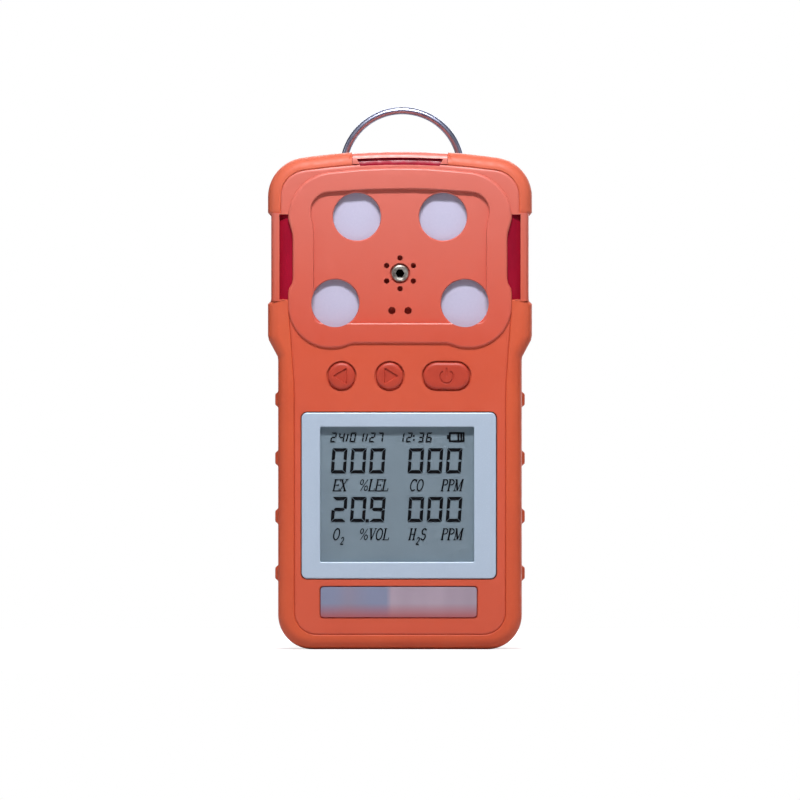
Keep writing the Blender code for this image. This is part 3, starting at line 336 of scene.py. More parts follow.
def recess_outline():
    lower = arc(RECESS_LOWER_HALF - 2.0 * MM, RECESS_BOTTOM + 2.0 * MM, 2.0 * MM, -90, 0, 5)
    side = [(RECESS_LOWER_HALF, 108.6 * MM), (RECESS_LOWER_HALF + 0.1 * MM, 109.8 * MM)]
    side.append((RECESS_HALF - 0.12 * MM, 112.6 * MM))
    return mirrored(lower + side + crown(RECESS_HALF, RECESS_TOP, 218.0 * MM, 5.0 * MM))


def face_outline():
    """The case's front as the boot leaves it open: a narrow panel below, the full case above."""
    low, radius = PANEL_BOTTOM, PANEL_CORNER
    side = arc(PANEL_HALF - radius, low + radius, radius, -90, 0, 12)
    side += [(PANEL_HALF, 64.0 * MM), (PANEL_HALF + 0.15 * MM, 70.0 * MM)]
    side += [(PANEL_HALF + 0.7 * MM, 78.0 * MM), (PANEL_HALF + 1.3 * MM, 86.0 * MM)]
    side += [(PANEL_HALF + 1.45 * MM, 90.9 * MM), (SHOULDER_HALF - BAND, 91.2 * MM)]
    corner = TOP_CORNER - BAND
    top = BODY_HEIGHT - BAND
    return mirrored(side + crown(SHOULDER_HALF - BAND, top, CROWN_RADIUS - BAND, corner))


def top_slot(inset):
    """The slot for the top alarm window, bowed like the crown, its ends leaning outwards."""
    low, high = TOP_SLOT_LOW + inset, TOP_SLOT_HIGH - inset
    half = []
    for i in range(9):
        x = (TOP_SLOT_HALF - 0.9 * MM - inset) * i / 8
        half.append((x, low - x**2 / (2 * CROWN_RADIUS)))
    for i in range(9):
        x = (TOP_SLOT_HALF - inset) * (1 - i / 8)
        half.append((x, high - x**2 / (2 * CROWN_RADIUS)))
    return mirrored(half)


# ---------------------------------------------------------------- meshes


def settle(piece, body, slot, *nodes):
    """Joins a finished piece to its CAD body, in place of the nodes that it stands for."""
    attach(piece, body)
    if nodes:
        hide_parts(*nodes)
    return piece


def solid(name, shape, surface=None, sharp=30):
    bmesh.ops.remove_doubles(shape, verts=shape.verts, dist=1e-7)
    bmesh.ops.recalc_face_normals(shape, faces=shape.faces)
    mesh = bpy.data.meshes.new(name)
    shape.to_mesh(mesh)
    shape.free()
    piece = bpy.data.objects.new(name, mesh)
    bpy.context.scene.collection.objects.link(piece)
    if surface:
        mesh.materials.append(surface)
    smooth(piece, sharp)
    return piece


def smooth(piece, sharp=30):
    piece.data.shade_smooth()
    piece.data.set_sharp_from_angle(angle=math.radians(sharp))


def loft(name, loops, surface=None, closed=False, sharp=30):
    """A solid through loops of (x, y, z) points; open lofts get end caps, closed ones join up."""
    shape = bmesh.new()
    rings = [[shape.verts.new(point) for point in loop] for loop in loops]
    pairs = list(zip(rings, rings[1:]))
    if closed:
        pairs.append((rings[-1], rings[0]))
    for first, second in pairs:
        count = len(first)
        for i in range(count):
            j = (i + 1) % count
            shape.faces.new((first[i], first[j], second[j], second[i]))
    if not closed:
        shape.faces.new(rings[0])
        shape.faces.new(rings[-1])
    return solid(name, shape, surface, sharp)


def at_depth(outline, y):
    return [(x, y, z) for x, z in outline]


def prism(name, outline, front, back, surface=None):
    return loft(name, [at_depth(outline, front), at_depth(outline, back)], surface)


def side_prism(name, outline, left, right, surface=None):
    """A (y, z) outline run from left to right."""
    return loft(name, [[(x, y, z) for y, z in outline] for x in (left, right)], surface)


def box(name, left, right, front, back, low, high):
    outline = [(left, low), (right, low), (right, high), (left, high)]
    return prism(name, outline, front, back)


def turned(name, centre, profile, sides, surface=None, closed=False, sharp=30):
    """A solid of revolution about a line along Y through (x, z); profile is (radius, y) pairs."""
    loops = [at_depth(circle(centre[0], centre[1], r, sides), y) for r, y in profile]
    return loft(name, loops, surface, closed, sharp)


def rod(name, centre, radius, front, back, sides=32):
    return turned(name, centre, [(radius, front), (radius, back)], sides)


def cross_rod(name, centre, radius, left, right, sides=32, surface=None):
    """A cylinder along X through (y, z)."""
    return side_prism(name, circle(centre[0], centre[1], radius, sides), left, right, surface)


def applied(piece):
    """Makes the evaluated mesh the piece's own and drops its modifiers."""
    graph = bpy.context.evaluated_depsgraph_get()
    mesh = bpy.data.meshes.new_from_object(piece.evaluated_get(graph))
    piece.modifiers.clear()
    piece.data = mesh
    return piece


def combined(piece, others, operation):
    for other in others:
        modifier = piece.modifiers.new(operation, "BOOLEAN")
        modifier.operation = operation
        modifier.object = other
        modifier.material_mode = "INDEX"
    applied(piece)
    for other in others:
        bpy.data.objects.remove(other, do_unlink=True)
    return piece


def carve(piece, *cutters):
    return combined(piece, cutters, "DIFFERENCE")


def weld(piece, *others):
    return combined(piece, others, "UNION")


def softened(piece, width, segments=3, angle=35):
    """Rounds the sharp edges by a bevel and evens the shading of the flats beside them."""
    clean = bmesh.new()
    clean.from_mesh(piece.data)
    bmesh.ops.remove_doubles(clean, verts=clean.verts, dist=0.015 * MM)
    bmesh.ops.dissolve_limit(
        clean, angle_limit=math.radians(1), verts=clean.verts, edges=clean.edges
    )
    clean.to_mesh(piece.data)
    clean.free()
    bevel = piece.modifiers.new("soft_edges", "BEVEL")
    bevel.width = width
    bevel.segments = segments
    bevel.limit_method = "ANGLE"
    bevel.angle_limit = math.radians(angle)
    bevel.use_clamp_overlap = True
    bevel.harden_normals = False
    applied(piece)
    smooth(piece, 50)
    normals = piece.modifiers.new("even_shading", "WEIGHTED_NORMAL")
    normals.keep_sharp = True
    normals.weight = 80
    return piece


def quarter(radius, steps):
    """(inset, depth) steps round a quarter-circle edge, from the face out to the side."""
    turns = [math.radians(90 * i / steps) for i in range(steps + 1)]
    return [(radius * (1 - math.sin(a)), radius * (1 - math.cos(a))) for a in turns]


def pillow(name, outline, front, back, radius, surface=None, steps=5, sharp=40):
    """A slab with a rounded front edge."""
    loops = []
    for inset, depth in quarter(radius, steps):
        loops.append(at_depth(offset(outline, -inset), front + depth))
    loops.append(at_depth(outline, back))
    return loft(name, loops, surface, sharp=sharp)


# ---------------------------------------------------------------- materials


def linear(red, green, blue):
    """A linear colour from 0-255 display values."""
    values = []
    for value in (red, green, blue):
        v = value / 255
        values.append(v / 12.92 if v <= 0.04045 else ((v + 0.055) / 1.055) ** 2.4)
    return (*values, 1.0)


class Finish:
    """A Principled material whose colour, roughness and relief vary over the surface."""

    def __init__(self, name, colour, roughness, metallic=0.0):
        self.material = bpy.data.materials.new(name)
        self.material.use_nodes = True
        self.tree = self.material.node_tree
        self.shader = self.tree.nodes["Principled BSDF"]
        self.colour = colour
        self.shader.inputs["Base Color"].default_value = colour
        self.shader.inputs["Roughness"].default_value = roughness
        self.shader.inputs["Metallic"].default_value = metallic
        self.place = self.node("ShaderNodeTexCoord").outputs["Object"]
        self.height = None

    def node(self, kind, **settings):
        made = self.tree.nodes.new(kind)
        for key, value in settings.items():
            setattr(made, key, value)
        return made

    def link(self, output, target):
        self.tree.links.new(output, target)

    def set(self, **values):
        for key, value in values.items():
            self.shader.inputs[key.replace("_", " ")].default_value = value
        return self

    def noise(self, scale, detail=3.0, roughness=0.5, stretch=None):
        """A noise value; stretch scales the surface's own axes first, for a brushed grain."""
        texture = self.node("ShaderNodeTexNoise")
        texture.inputs["Scale"].default_value = scale
        texture.inputs["Detail"].default_value = detail
        texture.inputs["Roughness"].default_value = roughness
        place = self.place
        if stretch:
            mapping = self.node("ShaderNodeMapping")
            mapping.inputs["Scale"].default_value = stretch
            self.link(place, mapping.inputs["Vector"])
            place = mapping.outputs["Vector"]
        self.link(place, texture.inputs["Vector"])
        return texture.outputs["Fac"]

    def across(self, axis, start, end):
        """A value that runs from 0 to 1 between two places along an axis."""
        split = self.node("ShaderNodeSeparateXYZ")
        self.link(self.place, split.inputs["Vector"])
        return self.ramp(split.outputs[axis], start, end, 0.0, 1.0)

    def ramp(self, value, low, high, start, end):
        """Maps value from low..high to start..end."""
        mapped = self.node("ShaderNodeMapRange")
        mapped.inputs["From Min"].default_value = low
        mapped.inputs["From Max"].default_value = high
        mapped.inputs["To Min"].default_value = start
        mapped.inputs["To Max"].default_value = end
        self.link(value, mapped.inputs["Value"])
        return mapped.outputs["Result"]

    def tint(self, value, other, low=0.35, high=0.65, most=1.0):
        """Blends the colour towards other where value is high."""
        mix = self.node("ShaderNodeMix", data_type="RGBA")
        self.link(self.ramp(value, low, high, 0.0, most), mix.inputs["Factor"])
        base = self.shader.inputs["Base Color"]
        if base.links:
            self.link(base.links[0].from_socket, mix.inputs["A"])
        else:
            mix.inputs["A"].default_value = self.colour
        mix.inputs["B"].default_value = other
        self.link(mix.outputs["Result"], base)
        return self

    def gloss(self, value, start, end, low=0.3, high=0.7):
        self.link(self.ramp(value, low, high, start, end), self.shader.inputs["Roughness"])
        return self

    def relief(self, value, depth, strength=1.0):
        """Adds bump whose full height is depth, in metres."""
        bump = self.node("ShaderNodeBump")
        bump.inputs["Strength"].default_value = strength
        bump.inputs["Distance"].default_value = depth
        self.link(value, bump.inputs["Height"])
        normal = self.shader.inputs["Normal"]
        if normal.links:
            self.link(normal.links[0].from_socket, bump.inputs["Normal"])
        self.link(bump.outputs["Normal"], normal)
        return self


def moulded_rubber():
    made = Finish("boot_rubber", linear(207, 87, 50), 0.5)
    made.tint(made.noise(60, 4), linear(199, 78, 46), 0.4, 0.7, 0.6)
    # Painted light: the rubber turns paler and pinker towards the top, standing in for the light and
    # haze from above.
    made.tint(made.across("Z", 70.0 * MM, 128.0 * MM), linear(207, 100, 72), 0.0, 1.0)
    made.tint(made.noise(1400, 2), linear(214, 96, 60), 0.55, 0.8, 0.35)
    made.gloss(made.noise(500, 3), 0.42, 0.6)
    made.relief(made.noise(2600, 2), 0.03 * MM, 0.6)
    made.relief(made.noise(350, 3), 0.05 * MM, 0.25)
    return made.set(Specular_IOR_Level=0.4).material


def case_plastic(name, colour, darker, painted_top_sheen):
    made = Finish(name, colour, 0.36)
    made.tint(made.noise(45, 4), darker, 0.4, 0.75, 0.5)
    # Painted sheen: the plastic turns paler and pinker towards the top, standing in for the hazy light
    # from above.
    made.tint(made.across("Z", 80.0 * MM, 126.0 * MM), painted_top_sheen, 0.0, 1.0)
    made.gloss(made.noise(420, 3), 0.3, 0.44)
    made.relief(made.noise(3200, 2), 0.02 * MM, 0.5)
    made.relief(made.noise(160, 3), 0.05 * MM, 0.15)
    return made.set(Specular_IOR_Level=0.5).material


def key_rubber():
    made = Finish("key_rubber", linear(184, 62, 40), 0.45)
    made.tint(made.noise(300, 3), linear(170, 52, 34), 0.4, 0.7, 0.5)
    made.relief(made.noise(2600, 2), 0.02 * MM, 0.5)
    return made.material


def alarm_lens():
    made = Finish("alarm_lens", linear(160, 18, 46), 0.2)
    made.tint(made.noise(220, 2, stretch=(1, 1, 0.25)), linear(126, 12, 36), 0.4, 0.7, 0.7)
    made.gloss(made.noise(600, 2), 0.14, 0.26)
    return made.set(Specular_IOR_Level=0.45).material


def bezel_paint():
    made = Finish("bezel_paint", linear(182, 200, 217), 0.36, 0.15)
    made.tint(made.noise(3800, 2), linear(204, 218, 232), 0.55, 0.75, 0.5)
    made.gloss(made.noise(700, 2), 0.28, 0.4)
    made.relief(made.noise(4200, 2), 0.01 * MM, 0.4)
    return made.material


def plate_metal():
    made = Finish("plate_metal", linear(142, 150, 176), 0.3, 0.4)
    # Painted reflection: bluish grey on the left turning lavender on the right, as reflected
    # surroundings would look.
    made.tint(made.across("X", -3.6 * MM, -2.2 * MM), linear(184, 168, 182), 0.0, 1.0)
    # Painted sheen: soft vertical bands standing in for reflections.
    made.tint(made.noise(90, 1, stretch=(1, 1, 0.1)), linear(160, 146, 160), 0.42, 0.62, 0.7)
    # Painted reflection of the orange body, reddening the plate towards its bottom edge.
    made.tint(made.across("Z", 12.0 * MM, 8.6 * MM), linear(180, 92, 92), 0.0, 1.0, 0.85)
    made.gloss(made.noise(300, 2), 0.4, 0.5)
    return made.material


def screen_reflector():
    made = Finish("screen_reflector", linear(120, 139, 149), 0.6)
    made.tint(made.noise(90, 2), linear(112, 130, 140), 0.35, 0.7, 0.6)
    made.relief(made.noise(6000, 1), 0.008 * MM, 0.4)
    return made.material


def screen_ink():
    made = Finish("screen_ink", linear(5, 6, 9), 0.7)
    made.tint(made.noise(900, 2), linear(14, 17, 22), 0.4, 0.7, 0.6)
    return made.set(Specular_IOR_Level=0.1).material


def clear_pane():
    made = Finish("clear_pane", linear(40, 44, 50), 0.1)
    made.gloss(made.noise(500, 2), 0.06, 0.14)
    return made.set(Alpha=0.025, Specular_IOR_Level=0.2).material


def filter_felt():
    made = Finish("filter_felt", linear(188, 188, 210), 0.85)
    made.tint(made.noise(1500, 4, 0.7), linear(180, 180, 204), 0.35, 0.7, 0.6)
    made.relief(made.noise(2400, 4, 0.8), 0.012 * MM, 0.4)
    return made.set(Specular_IOR_Level=0.2).material


def bright_chrome():
    made = Finish("bright_chrome", linear(176, 182, 204), 0.32, 1.0)
    made.tint(made.noise(260, 3), linear(150, 156, 188), 0.4, 0.7, 0.7)
    made.gloss(made.noise(300, 3), 0.28, 0.36)
    return made.material


def worn_and_shaded_steel():
    made = Finish("worn_and_shaded_steel", linear(196, 194, 184), 0.4, 1.0)
    made.tint(made.noise(900, 4), linear(116, 104, 98), 0.35, 0.65, 0.9)
    # Painted shade with some grime: deeper than the head's face, down the hex socket and behind the
    # head, the steel is darkened to near black.
    shade_and_grime_start, shade_and_grime_end = PLATE_Y + 0.2 * MM, PLATE_Y + 1.2 * MM
    made.tint(made.across("Y", shade_and_grime_start, shade_and_grime_end), linear(14, 8, 8), 0.0, 1.0)
    made.gloss(made.noise(1400, 3), 0.3, 0.55)
    made.relief(made.noise(1800, 3), 0.02 * MM, 0.6)
    return made.material


def plain_steel():
    made = Finish("plain_steel", linear(168, 168, 172), 0.3, 1.0)
    made.tint(made.noise(120, 4), linear(140, 141, 147), 0.4, 0.7, 0.7)
    made.gloss(made.noise(1600, 3, stretch=(1, 1, 0.06)), 0.22, 0.42)
    made.relief(made.noise(2200, 2, stretch=(1, 1, 0.05)), 0.012 * MM, 0.5)
    return made.material


def dull_rubber():
    made = Finish("dull_rubber", linear(38, 38, 41), 0.7)
    made.tint(made.noise(400, 3), linear(52, 52, 55), 0.45, 0.75, 0.6)
    made.relief(made.noise(2600, 2), 0.03 * MM, 0.6)
    return made.material


def black_plastic():
    made = Finish("black_plastic", linear(30, 30, 33), 0.45)
    made.gloss(made.noise(500, 3), 0.38, 0.55)
    made.relief(made.noise(3000, 2), 0.02 * MM, 0.5)
    return made.material


def pale_plastic():
    made = Finish("pale_plastic", linear(214, 213, 206), 0.45)
    made.tint(made.noise(200, 3), linear(200, 198, 190), 0.4, 0.7, 0.6)
    made.relief(made.noise(2600, 2), 0.02 * MM, 0.5)
    return made.material


def board_laminate():
    made = Finish("board_laminate", linear(22, 92, 52), 0.35)
    made.tint(made.noise(500, 1, stretch=(1, 1, 0.1)), linear(34, 116, 66), 0.5, 0.56, 0.9)
    made.relief(made.noise(900, 1, stretch=(1, 1, 0.1)), 0.03 * MM, 0.5)
    return made.material


def cell_wrap():
    made = Finish("cell_wrap", linear(38, 78, 132), 0.28)
    made.tint(made.noise(80, 3), linear(28, 62, 112), 0.4, 0.7, 0.7)
    made.relief(made.noise(120, 3), 0.1 * MM, 0.3)
    return made.material


# ---------------------------------------------------------------- boot and case


def boot_edge():
    """(depth, inset, rib) round the boot's rolled edge and along its side, front to back."""
    roll = 3.5 * MM
    side = BOOT_HIGH.y - roll
    steps = 9
    edge = []
    for i in range(steps + 1):
        a = math.radians(90 * (1 - i / steps))
        edge.append((side + roll * math.sin(a), 3.0 * MM * (1 - math.cos(a)), 0.0))
    ribs = [(GRIP_REACH + (1 - t) * 1.2 * MM, 0.0, t * t * (3 - 2 * t)) for t in (0, 0.3, 0.6, 0.8, 1)]
    half = edge + ribs
    shift = BOOT_LOW.y + BOOT_HIGH.y
    return [(shift - y, inset, rib) for y, inset, rib in half] + half[::-1]


def make_boot(rubber):
    loops = []
    for y, inset, rib in boot_edge():
        outline = offset(silhouette(True, GRIP_PROUD * rib, MIDDLE_DROP), -inset)
        loops.append(at_depth(outline, y))
    boot = loft("boot_sleeve", loops, rubber)
    front, back = BOOT_LOW.y - MM, 2.3 * MM
    low, high = WINDOW_LOW - 0.05 * MM, WINDOW_HIGH + 0.05 * MM
    half, wide = MIDDLE_HALF - 0.15 * MM, SHOULDER_HALF + 2.0 * MM
    mouth = face_outline()
    rear = rounded_box(-26.0 * MM, 26.0 * MM, 5.2 * MM, 122.8 * MM, 5.0 * MM, 10)
    lip = ((0.8, -0.3), (0.4, -0.01), (0.24, 0.04), (0.12, 0.13), (0.05, 0.26), (0.04, 1.5))
    opening = [at_depth(offset(mouth, grow * MM), BOOT_LOW.y + y * MM) for grow, y in lip]
    carve(
        boot,
        prism("c1", offset(case_outline(), -0.02 * MM), LIP_Y, REAR_HIGH.y - 1.1 * MM),
        prism("c2", rear, REAR_HIGH.y - 2.0 * MM, BOOT_HIGH.y + MM),
        loft("mouth", opening),
        box("c3", 30.6 * MM, wide, front, back, low, high),
        box("c4", -wide, -30.6 * MM, front, back, low, high),
        box("c5", -half, half, front, back, 125.9 * MM, 131.0 * MM),
    )
    softened(boot, 0.25 * MM)
    settle(boot, "case", "orange_rubber", "boot")


def sound_holes(radius, front, back):
    """Six holes round the cover screw and two below it."""
    holes = []
    for i in range(6):
        a = math.radians(90 + 60 * i)
        x, z = SCREW.x + SOUND_RADIUS * math.cos(a), SCREW.z + SOUND_RADIUS * math.sin(a)
        holes.append(rod(f"h{i}", (x, z), radius, front, back, 20))
    for x in (-2.1 * MM, 2.1 * MM):
        holes.append(rod("v", (x, SCREW.z - 9.7 * MM), radius + 0.25 * MM, front, back, 24))
    return holes


def brow_outline(inset):
    """The case's top where it shows through the boot, above the sensor cover."""
    half = MIDDLE_HALF - 0.25 * MM
    top = []
    for i in range(9):
        x = half * (1 - i / 8)
        top.append((x, crown_height(x, MIDDLE_DROP + inset)))
    return mirrored([(half, 126.2 * MM)] + top)


def make_cheek(side):
    """The side of the case beside an alarm window, as a loft up its height."""
    low, high = WINDOW_LOW - 0.4 * MM, WINDOW_HIGH + 0.4 * MM
    half, front = WAIST_HALF - 0.1 * MM, FACE_Y + 0.1 * MM
    radius = 2.2 * MM
    roll = [(half - x, front + y) for x, y in quarter(radius, 8)]
    edge = [(30.0 * MM, front)] + roll + [(half, 2.0 * MM), (30.0 * MM, 2.0 * MM)]
    return loft("cheek", [[(side * x, y, z) for x, y in edge] for z in (low, high)])


def make_front_case(plastic):
    outline = case_outline()
    case = prism("case_front", outline, LIP_Y + 0.02 * MM, CASE_HIGH.y, plastic)
    mouth = face_outline()
    face = ((0.7, 0.0), (0.42, 0.04), (0.22, 0.12), (0.08, 0.24), (0.0, 0.36), (-0.1, 0.46))
    loops = [at_depth(offset(mouth, -inset * MM), FACE_Y + y * MM) for inset, y in face]
    loops.append(at_depth(offset(mouth, 0.1 * MM), LIP_Y + MM))
    brow = ((1.5, 0.05), (0.9, 0.25), (0.45, 0.6), (0.15, 1.1), (0.0, 1.8))
    brow = [at_depth(brow_outline(inset * MM), FACE_Y + y * MM) for inset, y in brow]
    weld(
        case,
        loft("face", loops),
        make_cheek(-1),
        make_cheek(1),
        loft("brow", brow + [at_depth(brow_outline(0.0), CASE_HIGH.y)]),
    )
    front = FACE_Y - MM
    inner = offset(outline, -WALL)
    bezel = surround("display_bezel", SEAT_GAP, 1.7 * MM)
    plate = surround("name_plate", SEAT_GAP, 1.0 * MM)
    pocket = rounded_box(-25.2 * MM, 25.2 * MM, 6.2 * MM, 76.6 * MM, 3.0 * MM)
    carve(case, prism("cavity", inner, SEAT_Y + WALL, CASE_HIGH.y + MM))
    carve(case, *[prism("well", outline, front, -12.0 * MM) for outline in key_outlines(KEY_WELL)])
    carve(case, prism("seat", offset(mirrored(cover_half()), -0.03 * MM), front, SEAT_Y))
    carve(
        case,
        prism("bezel_seat", bezel, front, -14.7 * MM),
        prism("pocket", pocket, -14.8 * MM, SEAT_Y + WALL + 0.5 * MM),
        prism("plate_seat", plate, front, -15.7 * MM),
        *[prism("step", mouth, front, FACE_Y + 0.75 * MM) for mouth in key_outlines(KEY_WELL_MOUTH)],
        *sound_holes(0.8 * MM, front, SEAT_Y + 0.5 * MM),
        *[rod("bore", (at.x, at.z), CELL_BORE, front, -12.0 * MM, 64) for at in INLETS],
        rod("nose", (SCREW.x, SCREW.z), SCREW_HOLE, front, -9.0 * MM),
    )
    low, high = WINDOW_LOW, WINDOW_HIGH
    carve(
        case,
        box("w1", 27.6 * MM, WINDOW_OUTER, front, SEAT_Y, low, high),
        box("w2", -WINDOW_OUTER, -27.6 * MM, front, SEAT_Y, low, high),
        box("w3", WINDOW_INNER, WINDOW_OUTER, SEAT_Y - MM, -MM, low, high),
        box("w4", -WINDOW_OUTER, -WINDOW_INNER, SEAT_Y - MM, -MM, low, high),
        prism("top_slot", top_slot(0.0), front, -14.4 * MM),
    )
    softened(case, 0.16 * MM)
    settle(case, "case", "orange_plastic", "front_case")


def inlet_cutter(at, front):
    """An inlet whose mouth is slightly countersunk."""
    steps = ((0.3, -0.1), (0.25, 0.02), (0.1, 0.14), (0.0, 0.34))
    profile = [(INLET_RADIUS, front), (INLET_RADIUS, PLATE_Y - 0.12 * MM)]
    profile += [(INLET_RADIUS + grow * MM, PLATE_Y + y * MM) for grow, y in steps]
    return turned("inlet", (at.x, at.z), profile + [(INLET_RADIUS, FILTER_Y + 0.1 * MM)], 72)


def make_sensor_cover(plastic):
    outline = mirrored(cover_half())
    edge = quarter(0.75 * MM, 6)
    loops = [at_depth(offset(outline, -inset), COVER_LOW.y + depth) for inset, depth in edge]
    cover = loft("cover_frame", loops + [at_depth(outline, COVER_HIGH.y)], plastic)
    front = COVER_LOW.y - MM
    dish = recess_outline()
    recess = loft(
        "recess",
        [
            at_depth(offset(dish, 0.5 * MM), front),
            at_depth(offset(dish, 0.5 * MM), COVER_LOW.y - 0.001 * MM),
            at_depth(offset(dish, 0.15 * MM), COVER_LOW.y + 0.18 * MM),
            at_depth(dish, COVER_LOW.y + 0.5 * MM),
            at_depth(dish, PLATE_Y),
        ],
    )
    carve(cover, recess)
    for at in INLETS:
        carve(
            cover,
            inlet_cutter(at, front),
            rod("ledge", (at.x, at.z), FILTER_LEDGE, FILTER_Y - 0.2 * MM, COVER_BACK, 72),
        )
    carve(cover, *sound_holes(0.7 * MM, front, COVER_BACK))
    carve(
        cover,
        rod("well", (SCREW.x, SCREW.z), SCREW_WELL, front, SCREW_WELL_Y, 40),
        rod("hole", (SCREW.x, SCREW.z), SCREW_HOLE, front, COVER_BACK, 24),
    )
    softened(cover, 0.16 * MM)
    settle(cover, "case", "orange_plastic", "sensor_cover")


def make_filters(felt):
    for i, at in enumerate(INLETS):
        low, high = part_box(f"sensor_filter_{i + 1}")
        radius = (high.x - low.x) / 2
        front = low.y + 0.2 * MM
        profile = [(radius * (1 - j / 12), front - 0.08 * MM * j / 12) for j in range(11, 0, -1)]
        profile += [(radius, front), (radius, high.y)]
        disc = turned(f"filter_disc_{i + 1}", (at.x, at.z), profile, 72, felt)
        settle(disc, "case", "membrane", f"sensor_filter_{i + 1}")


def make_cover_screw(metal):
    low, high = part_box("cover_screw")
    centre = (SCREW.x, SCREW.z)
    profile = [(1.3, 0.2), (1.6, 0.02), (1.9, 0.05), (2.12, 0.2), (2.24, 0.42), (2.24, 0.86)]
    profile += [(1.2, 0.88), (1.2, (high.y - low.y) / MM)]
    profile = [(r * MM, low.y + y * MM) for r, y in profile]
    screw = turned("cover_screw_head", centre, profile, 48, metal, sharp=40)
    carve(screw, prism("hex", circle(*centre, HEX_RADIUS, 6), low.y - MM, low.y + HEX_DEPTH))
    softened(screw, 0.04 * MM, 2)
    settle(screw, "case", "bright_steel", "cover_screw")


# ---------------------------------------------------------------- keys and windows


def stadium(centre, half, radius, steps=16):
    """An outline with round ends, half as long as given from its middle to the ends' centres."""
    right = arc(centre.x + half, centre.z, radius, -90, 90, steps)
    return right + arc(centre.x - half, centre.z, radius, 90, 270, steps)


def key_outlines(radius):
    """Outlines of the three keys' wells at a radius."""
    left, right, power = middle("key_left"), middle("key_right"), middle("key_power")
    return [
        circle(left.x, left.z, radius, 56),
        circle(right.x, right.z, radius, 56),
        stadium(power, POWER_REACH, radius),
    ]


def make_key(name, node, body, outline_at, mark, rubber):
    """A softly domed key with a sunk mark; outline_at gives its outline at an inset."""
    low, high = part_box(node)
    edge = ((1.2, 0.0), (0.8, 0.03), (0.5, 0.1), (0.25, 0.22), (0.08, 0.4), (0.0, 0.6))
    loops = [at_depth(outline_at(inset * MM), low.y + depth * MM) for inset, depth in edge]
    skirt = low.y + 1.15 * MM
    foot = outline_at(-0.8 * MM)
    loops += [at_depth(outline_at(0.0), skirt), at_depth(outline_at(-KEY_FLANGE), skirt + 0.05 * MM)]
    loops += [at_depth(outline_at(-KEY_FLANGE), KEY_FLANGE_BACK), at_depth(foot, KEY_FLANGE_BACK)]
    loops.append(at_depth(foot, high.y - 0.5 * MM))
    key = loft(name, loops, rubber, sharp=40)
    carve(key, *mark)
    softened(key, 0.09 * MM, 2)
    settle(key, body, "orange_rubber", node)


def sunk(name, outline, top, depth):
    """A cutter for a sloping-sided mark."""
    return loft(name, [at_depth(offset(outline, 0.12 * MM), top - 0.1 * MM),
                       at_depth(offset(outline, 0.06 * MM), top),
                       at_depth(offset(outline, -0.12 * MM), top + depth)])


def arrow(centre, direction):
    """A sunk triangle that points left (-1) or right (1)."""
    tip, tail, half = 2.35 * MM * direction, -1.35 * MM * direction, 2.2 * MM
    points = [(tip, 0.0), (tail, half), (tail, -half)]
    if direction < 0:
        points.reverse()
    points = eased([(centre.x + x, centre.z + z) for x, z in points], 0.5 * MM)
    return sunk("arrow", points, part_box("key_left")[0].y, 0.42 * MM)


def power_mark(centre):
    """A sunk power sign: a ring open at the top and a bar through the opening."""
    top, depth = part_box("key_power")[0].y, 0.3 * MM
    x, z = centre.x, centre.z - 0.2 * MM
    line = arc(x, z, 1.7 * MM, 125, 415, 40)
    ring = stroke_shape(line, 0.42 * MM)[::-1]
    bar = rounded_box(x - 0.2 * MM, x + 0.2 * MM, z + 0.2 * MM, z + 2.3 * MM, 0.1 * MM, 2)
    return [prism("ring", ring, top - MM, top + depth), prism("bar", bar, top - MM, top + depth)]


def make_keys(rubber):
    for node, body, way in (("key_left", "left_key", -1), ("key_right", "right_key", 1)):
        centre = middle(node)

        def disc(inset, centre=centre):
            return circle(centre.x, centre.z, KEY_RADIUS - inset, 56)

        make_key(f"{node}_cap", node, body, disc, [arrow(centre, way)], rubber)
    centre = middle("key_power")

    def pill(inset):
        return stadium(centre, POWER_REACH, KEY_RADIUS - inset)

    make_key("key_power_cap", "key_power", "power_key", pill, power_mark(centre), rubber)


def make_side_window(side, node, lens):
    """A bowed lens that falls away towards the side of the case, on a stem for its light."""
    low, high = WINDOW_LOW - 0.1 * MM, WINDOW_HIGH + 0.1 * MM
    inner, outer = 27.4 * MM, WINDOW_OUTER + 0.1 * MM
    front, back = depths(node)
    bow = []
    for i in range(10, -1, -1):
        t = i / 10
        bow.append((outer - (outer - inner) * t, front + 0.2 * MM + 1.15 * MM * (1 - t) ** 2))
    bow += [(outer, SEAT_Y + 0.25 * MM), (inner, SEAT_Y + 0.25 * MM)]
    loops = [[(side * x, y, z) for x, y in bow] for z in (low, high)]
    window = loft(f"{node}_lens", loops, lens)
    inner, outer = WINDOW_INNER + 0.25 * MM, WINDOW_OUTER - 0.2 * MM
    stem = box("stem", min(side * inner, side * outer), max(side * inner, side * outer),
               SEAT_Y, back, WINDOW_LOW + 0.25 * MM, WINDOW_HIGH - 0.25 * MM)
    weld(window, stem)
    smooth(window, 35)
    settle(window, "case", "alarm_red", node)


def make_top_window(lens):
    """A bowed lens that leans back at its top, so that it catches the light from above."""
    low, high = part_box("alarm_window_top")
    section = ((-0.1, 0.12), (0.15, 0.0), (0.45, 0.07), (0.8, 0.18), (1.2, 0.33), (1.6, 0.5))
    section += ((2.0, 0.7),)
    front = [(low.y + y * MM, TOP_SLOT_LOW + z * MM) for z, y in section]
    back = SEAT_Y + 0.3 * MM
    outline = front + [(back, front[-1][1]), (back, front[0][1])]
    loops = []
    for i in range(17):
        x = (TOP_SLOT_HALF + 0.1 * MM) * (i / 8 - 1)
        sag = x**2 / (2 * CROWN_RADIUS)
        loops.append([(x, y, z - sag) for y, z in outline])
    window = loft("alarm_window_top_lens", loops, lens, sharp=40)
    weld(window, box("stem", -3.7 * MM, 3.7 * MM, -15.0 * MM, high.y, 126.4 * MM, 127.1 * MM))
    smooth(window, 40)
    settle(window, "case", "alarm_red", "alarm_window_top")


# ---------------------------------------------------------------- display


